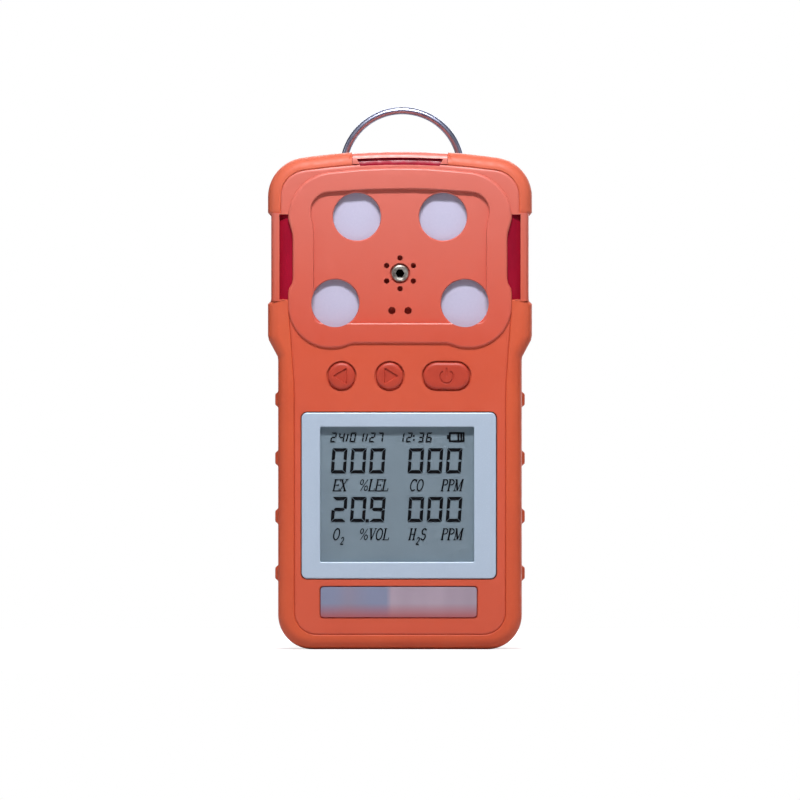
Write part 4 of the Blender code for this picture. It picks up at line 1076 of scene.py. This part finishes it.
def make_bezel(paint):
    outer = surround("display_bezel", 0.0, 1.5 * MM, 10)
    inner = surround("display_window", SEAT_GAP, 0.3 * MM, 10)
    front, back = depths("display_bezel")
    loops = [at_depth(outer, back)]
    for inset, depth in reversed(quarter(0.4 * MM, 5)):
        loops.append(at_depth(offset(outer, -inset), front + depth))
    for inset, depth in quarter(0.3 * MM, 4):
        loops.append(at_depth(offset(inner, inset), front + depth + 0.05 * MM))
    loops.append(at_depth(inner, back))
    bezel = loft("bezel_frame", loops, paint, closed=True, sharp=45)
    settle(bezel, "case", "satin_silver", "display_bezel")


def make_screen(reflector, pane_finish):
    outline = surround("lcd_module", 0.0, 0.6 * MM, 4)
    back = depths("lcd_module")[1]
    screen = pillow(
        "screen_reflector_plate", outline, REFLECTOR_Y, back, 0.3 * MM, reflector, 3, 10
    )
    settle(screen, "case", "black_plastic", "lcd_module")
    outline = surround("display_window", 0.0, 0.6 * MM, 4)
    pane = pillow("screen_pane", outline, *depths("display_window"), 0.2 * MM, pane_finish, 3, 10)
    settle(pane, "case", "screen_glass", "display_window")


SLANT = 0.07
SEGMENTS = {
    "0": "abcdef", "1": "bc", "2": "abdeg", "3": "abcdg", "4": "bcfg",
    "5": "acdfg", "6": "acdefg", "7": "abc", "8": "abcdefg", "9": "abcdfg",
}


def segment_shapes(width, height, stroke):
    """The seven bars of a digit as corner points from its lower left, with mitred ends."""
    t, gap = stroke, stroke * 0.14
    w, h, m = width, height, height / 2
    s = t * 0.5
    return {
        "a": [(gap, h), (w - gap, h), (w - t - gap, h - t), (t + gap, h - t)],
        "d": [(gap, 0), (t + gap, t), (w - t - gap, t), (w - gap, 0)],
        "f": [(0, h - gap), (t, h - t - gap), (t, m + s * 0.6 + gap), (0, m + gap)],
        "b": [(w, h - gap), (w, m + gap), (w - t, m + s * 0.6 + gap), (w - t, h - t - gap)],
        "e": [(0, gap), (0, m - gap), (t, m - s * 0.6 - gap), (t, t + gap)],
        "c": [(w, gap), (w - t, t + gap), (w - t, m - s * 0.6 - gap), (w, m - gap)],
        "g": [(s + gap, m), (t + gap, m + s), (w - t - gap, m + s), (w - s - gap, m),
              (w - t - gap, m - s), (t + gap, m - s)],
    }


def stroke_shape(points, width):
    """A ribbon of even width along a line of points, as one outline."""
    one, other = [], []
    for i, (x, z) in enumerate(points):
        ax, az = points[max(i - 1, 0)]
        bx, bz = points[min(i + 1, len(points) - 1)]
        a = math.atan2(bz - az, bx - ax) + math.pi / 2
        dx, dz = width / 2 * math.cos(a), width / 2 * math.sin(a)
        one.append((x + dx, z + dz))
        other.append((x - dx, z - dz))
    return one + other[::-1]


def letter_strokes(letter):
    """Strokes of a narrow serif letter in a box 1 high: a list of (points, line weight)."""
    thick, thin = 0.13, 0.06
    foot = 0.03

    def line(x0, z0, x1, z1, weight=thin):
        return ([(x0, z0), (x1, z1)], weight)

    def serif(x, z, half=0.11):
        return line(x - half, z, x + half, z)

    def stem(x):
        return line(x, 0.0, x, 1.0, thick)

    shapes = {
        "E": (0.52, [stem(0.12), line(0.02, 0.97, 0.5, 0.97), line(0.02, foot, 0.52, foot),
                     line(0.12, 0.5, 0.4, 0.5), line(0.5, 0.97, 0.5, 0.8),
                     line(0.52, foot, 0.52, 0.22), line(0.4, 0.4, 0.4, 0.6)]),
        "X": (0.54, [line(0.08, 0.97, 0.46, foot, thick), line(0.46, 0.97, 0.06, foot),
                     serif(0.09, 0.97), serif(0.45, 0.97), serif(0.08, foot), serif(0.46, foot)]),
        "L": (0.5, [stem(0.13), serif(0.13, 0.97), line(0.02, foot, 0.48, foot),
                    line(0.48, foot, 0.48, 0.24)]),
        "C": (0.52, [(bowl(0.29, 0.5, 0.22, 0.47, 50, 310), 0.1), line(0.46, 0.98, 0.46, 0.74)]),
        "O": (0.54, [(bowl(0.27, 0.5, 0.21, 0.47, 0, 360, 28), 0.1)]),
        "P": (0.52, [stem(0.13), serif(0.13, foot), line(0.03, 0.97, 0.3, 0.97),
                     (bowl(0.27, 0.74, 0.2, 0.22, 90, -90), 0.09), line(0.13, 0.52, 0.28, 0.52)]),
        "M": (0.72, [line(0.12, foot, 0.12, 0.97), line(0.12, 0.97, 0.34, 0.05, thick),
                     line(0.34, 0.05, 0.58, 0.97), stem(0.6), serif(0.12, foot), serif(0.6, foot),
                     serif(0.08, 0.97, 0.07), serif(0.64, 0.97, 0.07)]),
        "V": (0.54, [line(0.1, 0.97, 0.27, 0.02, thick), line(0.27, 0.02, 0.46, 0.97),
                     serif(0.1, 0.97), serif(0.46, 0.97, 0.08)]),
        "H": (0.6, [stem(0.13), stem(0.48), line(0.13, 0.5, 0.48, 0.5), serif(0.13, 0.97),
                    serif(0.48, 0.97), serif(0.13, foot), serif(0.48, foot)]),
        "S": (0.5, [(bowl(0.27, 0.73, 0.17, 0.24, 20, 270), 0.1),
                    (bowl(0.27, 0.27, 0.18, 0.25, 90, -160), 0.1)]),
        "2": (0.5, [(bowl(0.25, 0.72, 0.18, 0.24, 170, -40), 0.12),
                    line(0.39, 0.58, 0.08, 0.06, 0.12), line(0.04, 0.06, 0.48, 0.06, 0.14)]),
        "%": (0.7, [(bowl(0.16, 0.76, 0.11, 0.2, 0, 360, 20), 0.07),
                    (bowl(0.54, 0.24, 0.11, 0.2, 0, 360, 20), 0.07),
                    line(0.56, 0.98, 0.16, 0.02, 0.05)]),
    }
    return shapes[letter]


class Ink:
    """Collects the display's dark shapes as thin solids just above the reflector."""

    def __init__(self):
        self.shape = bmesh.new()
        self.front = REFLECTOR_Y - 0.13 * MM
        self.left, self.right, self.low, self.high = span("display_window")

    def add(self, points, thick=0.08 * MM):
        front = [self.shape.verts.new((x, self.front, z)) for x, z in points]
        back = [self.shape.verts.new((x, self.front + thick, z)) for x, z in points]
        self.shape.faces.new(front)
        self.shape.faces.new(back[::-1])
        for i in range(len(points)):
            j = (i + 1) % len(points)
            self.shape.faces.new((front[j], front[i], back[i], back[j]))

    def place(self, points, x, z, scale=1.0, slant=SLANT):
        self.add([(x + scale * (px + slant * pz), z + scale * pz) for px, pz in points])

    def digit(self, mark, x, z, width, height, stroke, slant):
        bars = segment_shapes(width, height, stroke)
        for bar in SEGMENTS[mark]:
            self.place(bars[bar], x, z, slant=slant)

    def number(self, text, x, z, width, height, stroke, pitch, slant=SLANT):
        """Digits with slashes, colons and points between them, from x to the right."""
        for mark in text:
            if mark in SEGMENTS:
                self.digit(mark, x, z, width, height, stroke, slant)
                x += pitch
            elif mark == "/":
                self.place([(0, 0.1 * height), (stroke, 0.1 * height), (stroke, 0.85 * height),
                            (0, 0.85 * height)], x - 0.1 * pitch, z, slant=0.25)
                x += pitch * 0.4
            elif mark == ":":
                for level in (0.25, 0.65):
                    self.place(bowl(0, 0, stroke * 0.7, stroke * 0.7, 0, 330, 11), x, z + level * height)
                x += pitch * 0.45
            elif mark == ".":
                dot = [(0, 0), (stroke, 0), (stroke, stroke), (0, stroke)]
                self.place(dot, x - 0.185 * pitch, z - 0.12 * stroke)

    def word(self, text, x, z, height, wide=0.8, slant=0.2):
        """Serif capitals, leaning like italics."""
        for letter in text:
            advance, strokes = letter_strokes(letter)
            for points, weight in strokes:
                outline = stroke_shape([(px * wide, pz) for px, pz in points], weight)
                self.place(outline, x, z, height, slant)
            x += height * wide * advance

    def battery(self, x, z, width, height):
        """A battery outline with its tip to the left and two bars left."""
        line = 0.48 * MM
        shell = rounded_box(x + 0.5 * MM, x + width, z, z + height, 0.2 * MM, 3)
        hollow = rounded_box(
            x + 0.5 * MM + line, x + width - line, z + line, z + height - line, 0.1 * MM, 3
        )
        self.frame(shell, hollow)
        self.add([(x, z + 0.3 * height), (x + 0.5 * MM, z + 0.3 * height),
                  (x + 0.5 * MM, z + 0.7 * height), (x, z + 0.7 * height)])
        for i in (0, 1):
            right = x + width - 0.6 * MM - i * 0.75 * MM
            self.add([(right - 0.5 * MM, z + 0.3 * MM), (right, z + 0.3 * MM),
                      (right, z + height - 0.3 * MM), (right - 0.5 * MM, z + height - 0.3 * MM)])

    def frame(self, outer, inner, thick=0.08 * MM):
        rings = []
        for outline, y in ((outer, 0.0), (outer, thick), (inner, thick), (inner, 0.0)):
            rings.append([self.shape.verts.new((x, self.front + y, z)) for x, z in outline])
        for first, second in zip(rings, rings[1:] + rings[:1]):
            for i in range(len(first)):
                j = (i + 1) % len(first)
                self.shape.faces.new((first[i], first[j], second[j], second[i]))


def make_readout(ink_finish):
    """Two rows of two readings with their gas and unit, under a date, a time and a battery."""
    ink = Ink()
    left, high = ink.left - 0.3 * MM, ink.high + 0.3 * MM
    columns = (left + 2.8 * MM, left + 22.75 * MM)
    digit = {"width": 3.9 * MM, "height": 6.5 * MM, "stroke": 0.82 * MM, "pitch": 4.97 * MM}
    rows = (high - 12.1 * MM, high - 24.75 * MM)
    for z, readings in zip(rows, (("000", "000"), ("20.9", "000"))):
        for x, text in zip(columns, readings):
            ink.number(text, x, z, **digit)
    names = ((("EX", "%LEL"), ("CO", "PPM")), (("O", "%VOL"), ("HS", "PPM")))
    for z, pair in zip((high - 16.75 * MM, high - 29.5 * MM), names):
        for x, (gas, unit) in zip(columns, pair):
            if gas == "HS":
                ink.word("H", x + 0.1 * MM, z, 3.1 * MM, 0.95)
                ink.word("2", x + 2.05 * MM, z - 1.2 * MM, 2.0 * MM, 0.9)
                ink.word("S", x + 3.1 * MM, z, 3.1 * MM, 0.95)
            else:
                ink.word(gas, x + 0.3 * MM, z, 3.1 * MM, 1.1)
            if gas == "O":
                ink.word("2", x + 2.3 * MM, z - 1.2 * MM, 2.0 * MM, 0.9)
            percent = "%" in unit
            ink.word(unit, x + (7.1 if percent else 8.5) * MM, z, 3.1 * MM, 1.12 if percent else 1.03)
    small = {"width": 1.45 * MM, "height": 2.55 * MM, "stroke": 0.36 * MM, "pitch": 2.1 * MM}
    small["slant"] = 0.16
    ink.number("24/01/27", columns[0] - 0.2 * MM, high - 4.05 * MM, **small)
    ink.number("12:36", left + 20.2 * MM, high - 4.05 * MM, **small)
    ink.battery(left + 33.0 * MM, high - 4.0 * MM, 4.6 * MM, 2.6 * MM)
    readout = solid("readout_ink", ink.shape, ink_finish, 30)
    settle(readout, "case", "black_plastic")


def make_name_plate(metal):
    outline = surround("name_plate", 0.0, 0.9 * MM)
    plate = pillow("blank_plate", outline, *depths("name_plate"), 0.18 * MM, metal, 3, 10)
    settle(plate, "case", "satin_silver", "name_plate")


# ---------------------------------------------------------------- back


def screw_holes(part, radius, front, back):
    """Cutters for the two screws that hold a part to the back of the case."""
    places = [middle(f"{part}_screw_{i}") for i in (1, 2)]
    return [rod("hole", (at.x, at.z), radius, front, back, 24) for at in places]


def make_rear_case(plastic):
    outline = case_outline()
    loops = [at_depth(outline, REAR_LOW.y)]
    for inset, depth in reversed(quarter(1.0 * MM, 4)):
        loops.append(at_depth(offset(outline, -inset), REAR_HIGH.y - 1.4 * MM - depth))
    case = loft("case_rear", loops, plastic)
    panel = rounded_box(-25.7 * MM, 25.7 * MM, 5.5 * MM, 122.5 * MM, 4.7 * MM, 10)
    weld(case, prism("raised", panel, REAR_HIGH.y - 2.6 * MM, REAR_HIGH.y))
    inner = offset(outline, -WALL)
    carve(case, prism("cavity", inner, REAR_LOW.y - MM, REAR_HIGH.y - 1.4 * MM - WALL))
    towers = []
    wells = []
    for i in (1, 2, 3, 4):
        at = middle(f"case_screw_{i}")
        towers.append(rod("tower", (at.x, at.z), 3.3 * MM, REAR_LOW.y + 0.1 * MM, 13.6 * MM))
        wells.append(rod("well", (at.x, at.z), 2.5 * MM, 10.0 * MM, REAR_HIGH.y + MM, 40))
        wells.append(rod("bore", (at.x, at.z), 1.5 * MM, REAR_LOW.y - MM, 12.0 * MM, 24))
    weld(case, *towers)
    carve(case, *wells)
    grooves = []
    for i in range(9):
        z = 26.0 * MM + 2.2 * MM * i
        bar = rounded_box(-20.0 * MM, 20.0 * MM, z, z + 0.9 * MM, 0.44 * MM, 5)
        grooves.append(prism("grip", bar, REAR_HIGH.y - 0.4 * MM, REAR_HIGH.y + MM))
    carve(
        case,
        box("socket", -5.8 * MM, 5.8 * MM, 12 * MM, 18 * MM, 7.6 * MM, 12.9 * MM),
        box("flap", -7.3 * MM, 7.3 * MM, 15.1 * MM, 18 * MM, 6.0 * MM, 14.7 * MM),
        *screw_holes("ring", SCREW_HOLE, 12 * MM, 18 * MM),
        *screw_holes("clip", SCREW_HOLE, 12 * MM, 18 * MM),
        *grooves,
    )
    softened(case, 0.18 * MM)
    settle(case, "case", "orange_plastic", "rear_case")


def cross_cut(centre, outside, depth):
    """Cutters for a cross recess, wider at its mouth."""
    x, z = centre
    cutters = []
    for half_x, half_z in ((1.25 * MM, 0.3 * MM), (0.3 * MM, 1.25 * MM)):
        loops = []
        for y, grow in ((outside, 1.0), (outside - depth, 0.6)):
            wide, tall = half_x * grow, half_z * grow
            loops.append([(x - wide, y, z - tall), (x + wide, y, z - tall),
                          (x + wide, y, z + tall), (x - wide, y, z + tall)])
        cutters.append(loft("cross", loops))
    return cutters


def make_rear_screw(node, metal):
    """A pan-head screw seen from behind, its head at the node's rear end."""
    low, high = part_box(node)
    centre = ((low.x + high.x) / 2, (low.z + high.z) / 2)
    radius = (high.x - low.x) / 2
    head = 1.4 * MM if node.startswith("case") else 1.3 * MM
    top = high.y
    profile = [(1.25 * MM, low.y), (1.25 * MM, top - head)]
    profile += [(radius, top - head), (radius, top - 0.5 * MM), (radius - 0.12 * MM, top - 0.25 * MM)]
    profile += [(radius - 0.4 * MM, top - 0.08 * MM), (radius - 0.9 * MM, top)]
    screw = turned(f"{node}_head", centre, profile, 40, metal, sharp=40)
    carve(screw, *cross_cut(centre, top + 0.1 * MM, 1.0 * MM))
    softened(screw, 0.05 * MM, 2)
    settle(screw, "case", "brushed_steel", node)


def ring_loops(path, wire, sides):
    """Round wire loops along a closed (x, z) path, mitred at each point."""
    loops = []
    for i, (x, z) in enumerate(path):
        normal, squeeze = mitre(path, i)
        stretch = 1 / squeeze
        loop = []
        for j in range(sides):
            a = 2 * math.pi * j / sides
            out = wire * math.cos(a) * stretch
            loop.append((x + out * math.cos(normal), wire * math.sin(a), z + out * math.sin(normal)))
        loops.append(loop)
    return loops


def make_ring(chrome):
    low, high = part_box("hanging_ring")
    wire = (high.y - low.y) / 2 * 1.02
    pivot = Vector(joint_place("ring_swing"))
    radius = (high.x - low.x) / 2 - wire
    centre = high.z - wire - radius
    shift = (high.x + low.x) / 2
    drop = centre - pivot.z
    lean = math.degrees(math.asin(drop / radius))
    bow = arc(0.0, centre, radius, -lean + 8, 180 + lean - 8, 160)
    x_end = radius * math.cos(math.radians(lean))
    bend = eased([bow[-1], (-x_end, pivot.z), (-x_end + 4.0 * MM, pivot.z)], 2.2 * MM, 8)[9:18]
    bar = [(x * MM, pivot.z) for x in (-8.0, -4.0, 0.0, 4.0, 8.0)]
    mirror_bend = [(-x, z) for x, z in reversed(bend)]
    path = bow + bend + bar + mirror_bend
    loops = [[(x + shift, y + pivot.y, z) for x, y, z in loop] for loop in ring_loops(path, wire, 40)]
    ring = loft("hanging_ring_wire", loops, chrome, closed=True, sharp=60)
    settle(ring, "ring", "bright_steel", "hanging_ring")


def make_ring_bracket(metal):
    """A bent plate whose sleeve the ring's straight side runs through."""
    _, y, z = Vector(joint_place("ring_swing"))
    base = depths("ring_bracket")[0]
    left, right, _, _ = span("ring_bracket")
    sleeve = arc(y, z, 2.3 * MM, -55, 180, 30)
    outline = [(base, 103.5 * MM), (base + 1.3 * MM, 103.5 * MM), (base + 1.3 * MM, 113.0 * MM)]
    outline += [(base + 1.8 * MM, 113.7 * MM)] + sleeve + [(base, z)]
    bracket = side_prism("ring_bracket_plate", outline, left, right, metal)
    holes = screw_holes("ring", BRACKET_HOLE, 16 * MM, 19 * MM)
    carve(bracket, cross_rod("bore", (y, z), 1.2 * MM, -10 * MM, 10 * MM), *holes)
    softened(bracket, 0.25 * MM)
    settle(bracket, "case", "brushed_steel", "ring_bracket")


def make_clip_arm(metal):
    _, y, z = joint_place("clip_squeeze")
    path = rounded_path([(y + a * MM, z + b * MM) for a, b in CLIP_ARM], 3.0 * MM)
    left, right, _, _ = span("belt_clip")
    clip = side_prism("belt_clip_arm", stroke_shape(path, CLIP_THICK), left, right, metal)
    weld(clip, cross_rod("hub", (y, z), HUB_RADIUS + 0.06 * MM, left + 0.05 * MM, right - 0.05 * MM, 40))
    slot = rounded_box(-3.0 * MM, 3.0 * MM, z - 34.0 * MM, z - 16.0 * MM, 2.9 * MM, 10)
    ridges = []
    for i in range(4):
        level = z + 6.6 * MM + 1.5 * MM * i
        ridges.append(cross_rod("ridge", (y + 3.45 * MM + 0.126 * (level - z - 6.6 * MM), level),
                                0.45 * MM, left - MM, right + MM, 16))
    carve(
        clip,
        cross_rod("bore", (y, z), HUB_BORE, -12 * MM, 12 * MM),
        prism("window", slot, y, y + 6 * MM),
        *ridges,
    )
    softened(clip, 0.3 * MM)
    settle(clip, "clip", "brushed_steel", "belt_clip")


def make_clip_base(metal):
    """A plate screwed to the case, with a lug at each side for the clip's pin."""
    _, y, z = joint_place("clip_squeeze")
    base = depths("clip_base")[0]
    outline = rounded_box(-11 * MM, 11 * MM, 84 * MM, 102.2 * MM, 1.5 * MM)
    plate = prism("clip_base_plate", outline, base, 18.3 * MM, metal)
    lug = [(18.0 * MM, 88.5 * MM), (20.5 * MM, 88.5 * MM)]
    lug += arc(y, z, HUB_RADIUS, -45, 90, 16) + [(18.0 * MM, 97.5 * MM)]
    weld(plate, side_prism("l1", lug, -11 * MM, -9.2 * MM), side_prism("l2", lug, 9.2 * MM, 11 * MM))
    holes = screw_holes("clip", BRACKET_HOLE, 16 * MM, 19 * MM)
    carve(plate, cross_rod("bore", (y, z), 1.4 * MM, -12 * MM, 12 * MM), *holes)
    softened(plate, 0.2 * MM)
    settle(plate, "case", "brushed_steel", "clip_base")


def make_clip_pin(metal):
    _, y, z = joint_place("clip_squeeze")
    low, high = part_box("clip_pin")
    loops = []
    for radius, x in ((0.7, low.x), (1.05, low.x + 0.15 * MM), (1.15, low.x + 0.4 * MM),
                      (1.15, high.x - 0.4 * MM), (1.05, high.x - 0.15 * MM), (0.7, high.x)):
        loops.append([(x, a, b) for a, b in circle(y, z, radius * MM, 32)])
    pin = loft("clip_pin_rod", loops, metal, sharp=40)
    settle(pin, "case", "brushed_steel", "clip_pin")


def make_clip_spring(metal):
    """A leaf fixed to the clip's base, bent out at its free end towards the arm."""
    low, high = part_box("clip_spring")
    fixed, free = low.y + 0.2 * MM, high.y - 0.25 * MM
    path = [(fixed, low.z), (fixed, low.z + 12.0 * MM), (fixed + 2.5 * MM, low.z + 16.0 * MM)]
    path = rounded_path(path + [(free, high.z - 0.15 * MM)], 3.0 * MM, 8)
    leaf = side_prism("clip_spring_leaf", stroke_shape(path, LEAF_THICK), low.x, high.x, metal)
    softened(leaf, 0.08 * MM, 2)
    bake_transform(leaf)
    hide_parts("clip_spring")


def make_port_cover(rubber):
    low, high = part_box("port_cover")
    _, y, z = joint_place("flap_open")
    half = 0.55 * MM
    outline = arc(y, z, half, 180, 360, 16) + [(y + half, high.z), (y - half, high.z)]
    flap = side_prism("port_flap", outline, low.x, high.x, rubber)
    lip = rounded_box(-3.5 * MM, 3.5 * MM, high.z - 1.9 * MM, high.z - 0.9 * MM, 0.48 * MM, 6)
    carve(flap, prism("nail_slot", lip, y + half - 0.3 * MM, y + MM))
    softened(flap, 0.15 * MM)
    settle(flap, "flap", "dark_rubber", "port_cover")


# ---------------------------------------------------------------- inner pieces


def dress_inner_nodes(finishes):
    """CAD nodes that keep their own shape get a material by name."""
    for name, node in frame["nodes"].items():
        if node.hide_render:
            continue
        for start, surface in finishes:
            if name.startswith(start):
                node.data.materials.clear()
                node.data.materials.append(surface)
                break


# ---------------------------------------------------------------- stage


def make_floor():
    shape = bmesh.new()
    bmesh.ops.create_circle(shape, cap_ends=True, segments=96, radius=0.42)
    floor = solid("floor", shape)
    paper = Finish("floor_paper", linear(205, 205, 205), 0.9)
    paper.tint(paper.noise(30, 3), linear(201, 201, 202), 0.4, 0.7, 0.6)
    paper.set(Specular_IOR_Level=0.0, Emission_Color=(1.0, 1.0, 1.0, 1.0))
    seen = paper.node("ShaderNodeLightPath").outputs["Is Camera Ray"]
    paper.link(paper.ramp(seen, 0.0, 1.0, 0.0, 0.62), paper.shader.inputs["Emission Strength"])
    floor.data.materials.append(paper.material)
    floor.location.z = CAD_BOX[0][2] - 0.05 * MM


def area_light(name, place, target, size, power, colour):
    data = bpy.data.lights.new(name, "AREA")
    data.shape = "RECTANGLE"
    data.size, data.size_y = size
    data.energy = power
    data.color = colour
    light = bpy.data.objects.new(name, data)
    light.location = place
    light.rotation_euler = (Vector(target) - Vector(place)).to_track_quat("-Z", "Y").to_euler()
    bpy.context.scene.collection.objects.link(light)
    return light


def make_lights():
    aim = (0.0, 0.0, 0.07)
    area_light("key_above", (0.0, -0.28, 0.44), aim, (0.2, 0.04), 2.35, (1.0, 0.97, 1.0))
    area_light("front_fill", (0.0, -0.9, 0.75), aim, (0.9, 0.4), 0.6, (0.97, 0.96, 1.0))
    area_light("left_side", (-0.6, -0.25, 0.15), aim, (0.2, 0.5), 0.5, (1.0, 0.97, 0.96))
    area_light("right_side", (0.6, -0.25, 0.15), aim, (0.2, 0.5), 0.42, (1.0, 0.97, 0.96))
    area_light("back_above", (0.0, 0.6, 0.45), aim, (0.6, 0.3), 2.6, (1.0, 1.0, 1.0))
    area_light("back_level", (0.35, 0.8, 0.16), aim, (0.7, 0.5), 2.4, (1.0, 1.0, 1.0))


def make_world():
    """White to the camera; to the surfaces a soft studio, dim on the level and bright above."""
    world = bpy.data.worlds.new("studio")
    bpy.context.scene.world = world
    world.use_nodes = True
    tree = world.node_tree
    tree.nodes.clear()
    output = tree.nodes.new("ShaderNodeOutputWorld")
    mix = tree.nodes.new("ShaderNodeMixShader")
    rays = tree.nodes.new("ShaderNodeLightPath")
    backdrop = tree.nodes.new("ShaderNodeBackground")
    backdrop.inputs["Color"].default_value = (1.0, 1.0, 1.0, 1.0)
    studio = tree.nodes.new("ShaderNodeBackground")
    studio.inputs["Strength"].default_value = 0.33
    place = tree.nodes.new("ShaderNodeTexCoord")
    split = tree.nodes.new("ShaderNodeSeparateXYZ")
    ramp = tree.nodes.new("ShaderNodeValToRGB")
    ramp.color_ramp.elements[0].position = 0.0
    ramp.color_ramp.elements[0].color = linear(170, 166, 172)
    ramp.color_ramp.elements[1].position = 1.0
    ramp.color_ramp.elements[1].color = linear(250, 250, 255)
    for position, colour in (
        (0.42, linear(120, 114, 122)),
        (0.52, linear(112, 112, 128)),
        (0.66, linear(86, 92, 116)),
        (0.80, linear(196, 198, 210)),
    ):
        ramp.color_ramp.elements.new(position).color = colour
    scale = tree.nodes.new("ShaderNodeMapRange")
    scale.inputs["From Min"].default_value = -1.0
    tree.links.new(place.outputs["Generated"], split.inputs["Vector"])
    tree.links.new(split.outputs["Z"], scale.inputs["Value"])
    tree.links.new(scale.outputs["Result"], ramp.inputs["Fac"])
    tree.links.new(ramp.outputs["Color"], studio.inputs["Color"])
    tree.links.new(rays.outputs["Is Camera Ray"], mix.inputs["Fac"])
    tree.links.new(studio.outputs["Background"], mix.inputs[1])
    tree.links.new(backdrop.outputs["Background"], mix.inputs[2])
    tree.links.new(mix.outputs["Shader"], output.inputs["Surface"])


def make_camera():
    """Straight on from far away, so that the view is nearly parallel."""
    data = bpy.data.cameras.new("camera")
    distance = 5.0
    view_width = 208.0 * MM
    data.sensor_width = 36.0
    data.lens = data.sensor_width * distance / view_width
    data.clip_end = 50.0
    camera = bpy.data.objects.new("camera", data)
    camera.location = (0.0, BOOT_LOW.y - distance, BODY_HEIGHT / 2)
    camera.rotation_euler = (math.radians(90), 0.0, 0.0)
    bpy.context.scene.collection.objects.link(camera)
    bpy.context.scene.camera = camera


def main():
    make_camera()
    make_world()
    make_lights()
    make_floor()
    rubber = moulded_rubber()
    # Colour of the painted sheen that pales both plastics towards the top.
    painted_top_sheen = linear(208, 112, 98)
    shell = case_plastic("case_plastic", linear(208, 88, 60), linear(200, 80, 53), painted_top_sheen)
    cover = case_plastic("cover_plastic", linear(206, 86, 64), linear(198, 79, 57), painted_top_sheen)
    lens, steel, chrome = alarm_lens(), plain_steel(), bright_chrome()
    dark = dull_rubber()
    make_boot(rubber)
    make_front_case(shell)
    make_sensor_cover(cover)
    make_filters(filter_felt())
    make_cover_screw(worn_and_shaded_steel())
    make_keys(key_rubber())
    make_side_window(-1, "alarm_window_left", lens)
    make_side_window(1, "alarm_window_right", lens)
    make_top_window(lens)
    make_bezel(bezel_paint())
    make_screen(screen_reflector(), clear_pane())
    make_readout(screen_ink())
    make_name_plate(plate_metal())
    make_rear_case(shell)
    for node in frame["nodes"]:
        if node.startswith(("case_screw", "ring_screw", "clip_screw")):
            make_rear_screw(node, steel)
    make_ring(chrome)
    make_ring_bracket(steel)
    make_clip_arm(steel)
    make_clip_base(steel)
    make_clip_pin(steel)
    make_clip_spring(steel)
    make_port_cover(dark)
    pale, black, board = pale_plastic(), black_plastic(), board_laminate()
    dress_inner_nodes(
        [
            ("sensor_gasket", dark), ("case_gasket", dark), ("battery_pad", dark),
            ("sensor_cell", pale), ("alarm_light", pale), ("battery", cell_wrap()),
            ("sensor_board", board), ("main_board", board), ("keypad_board", board),
            ("board_connector", black), ("buzzer", black), ("", steel),
        ]
    )


main()
bpy.context.scene.view_settings.view_transform = "Standard"
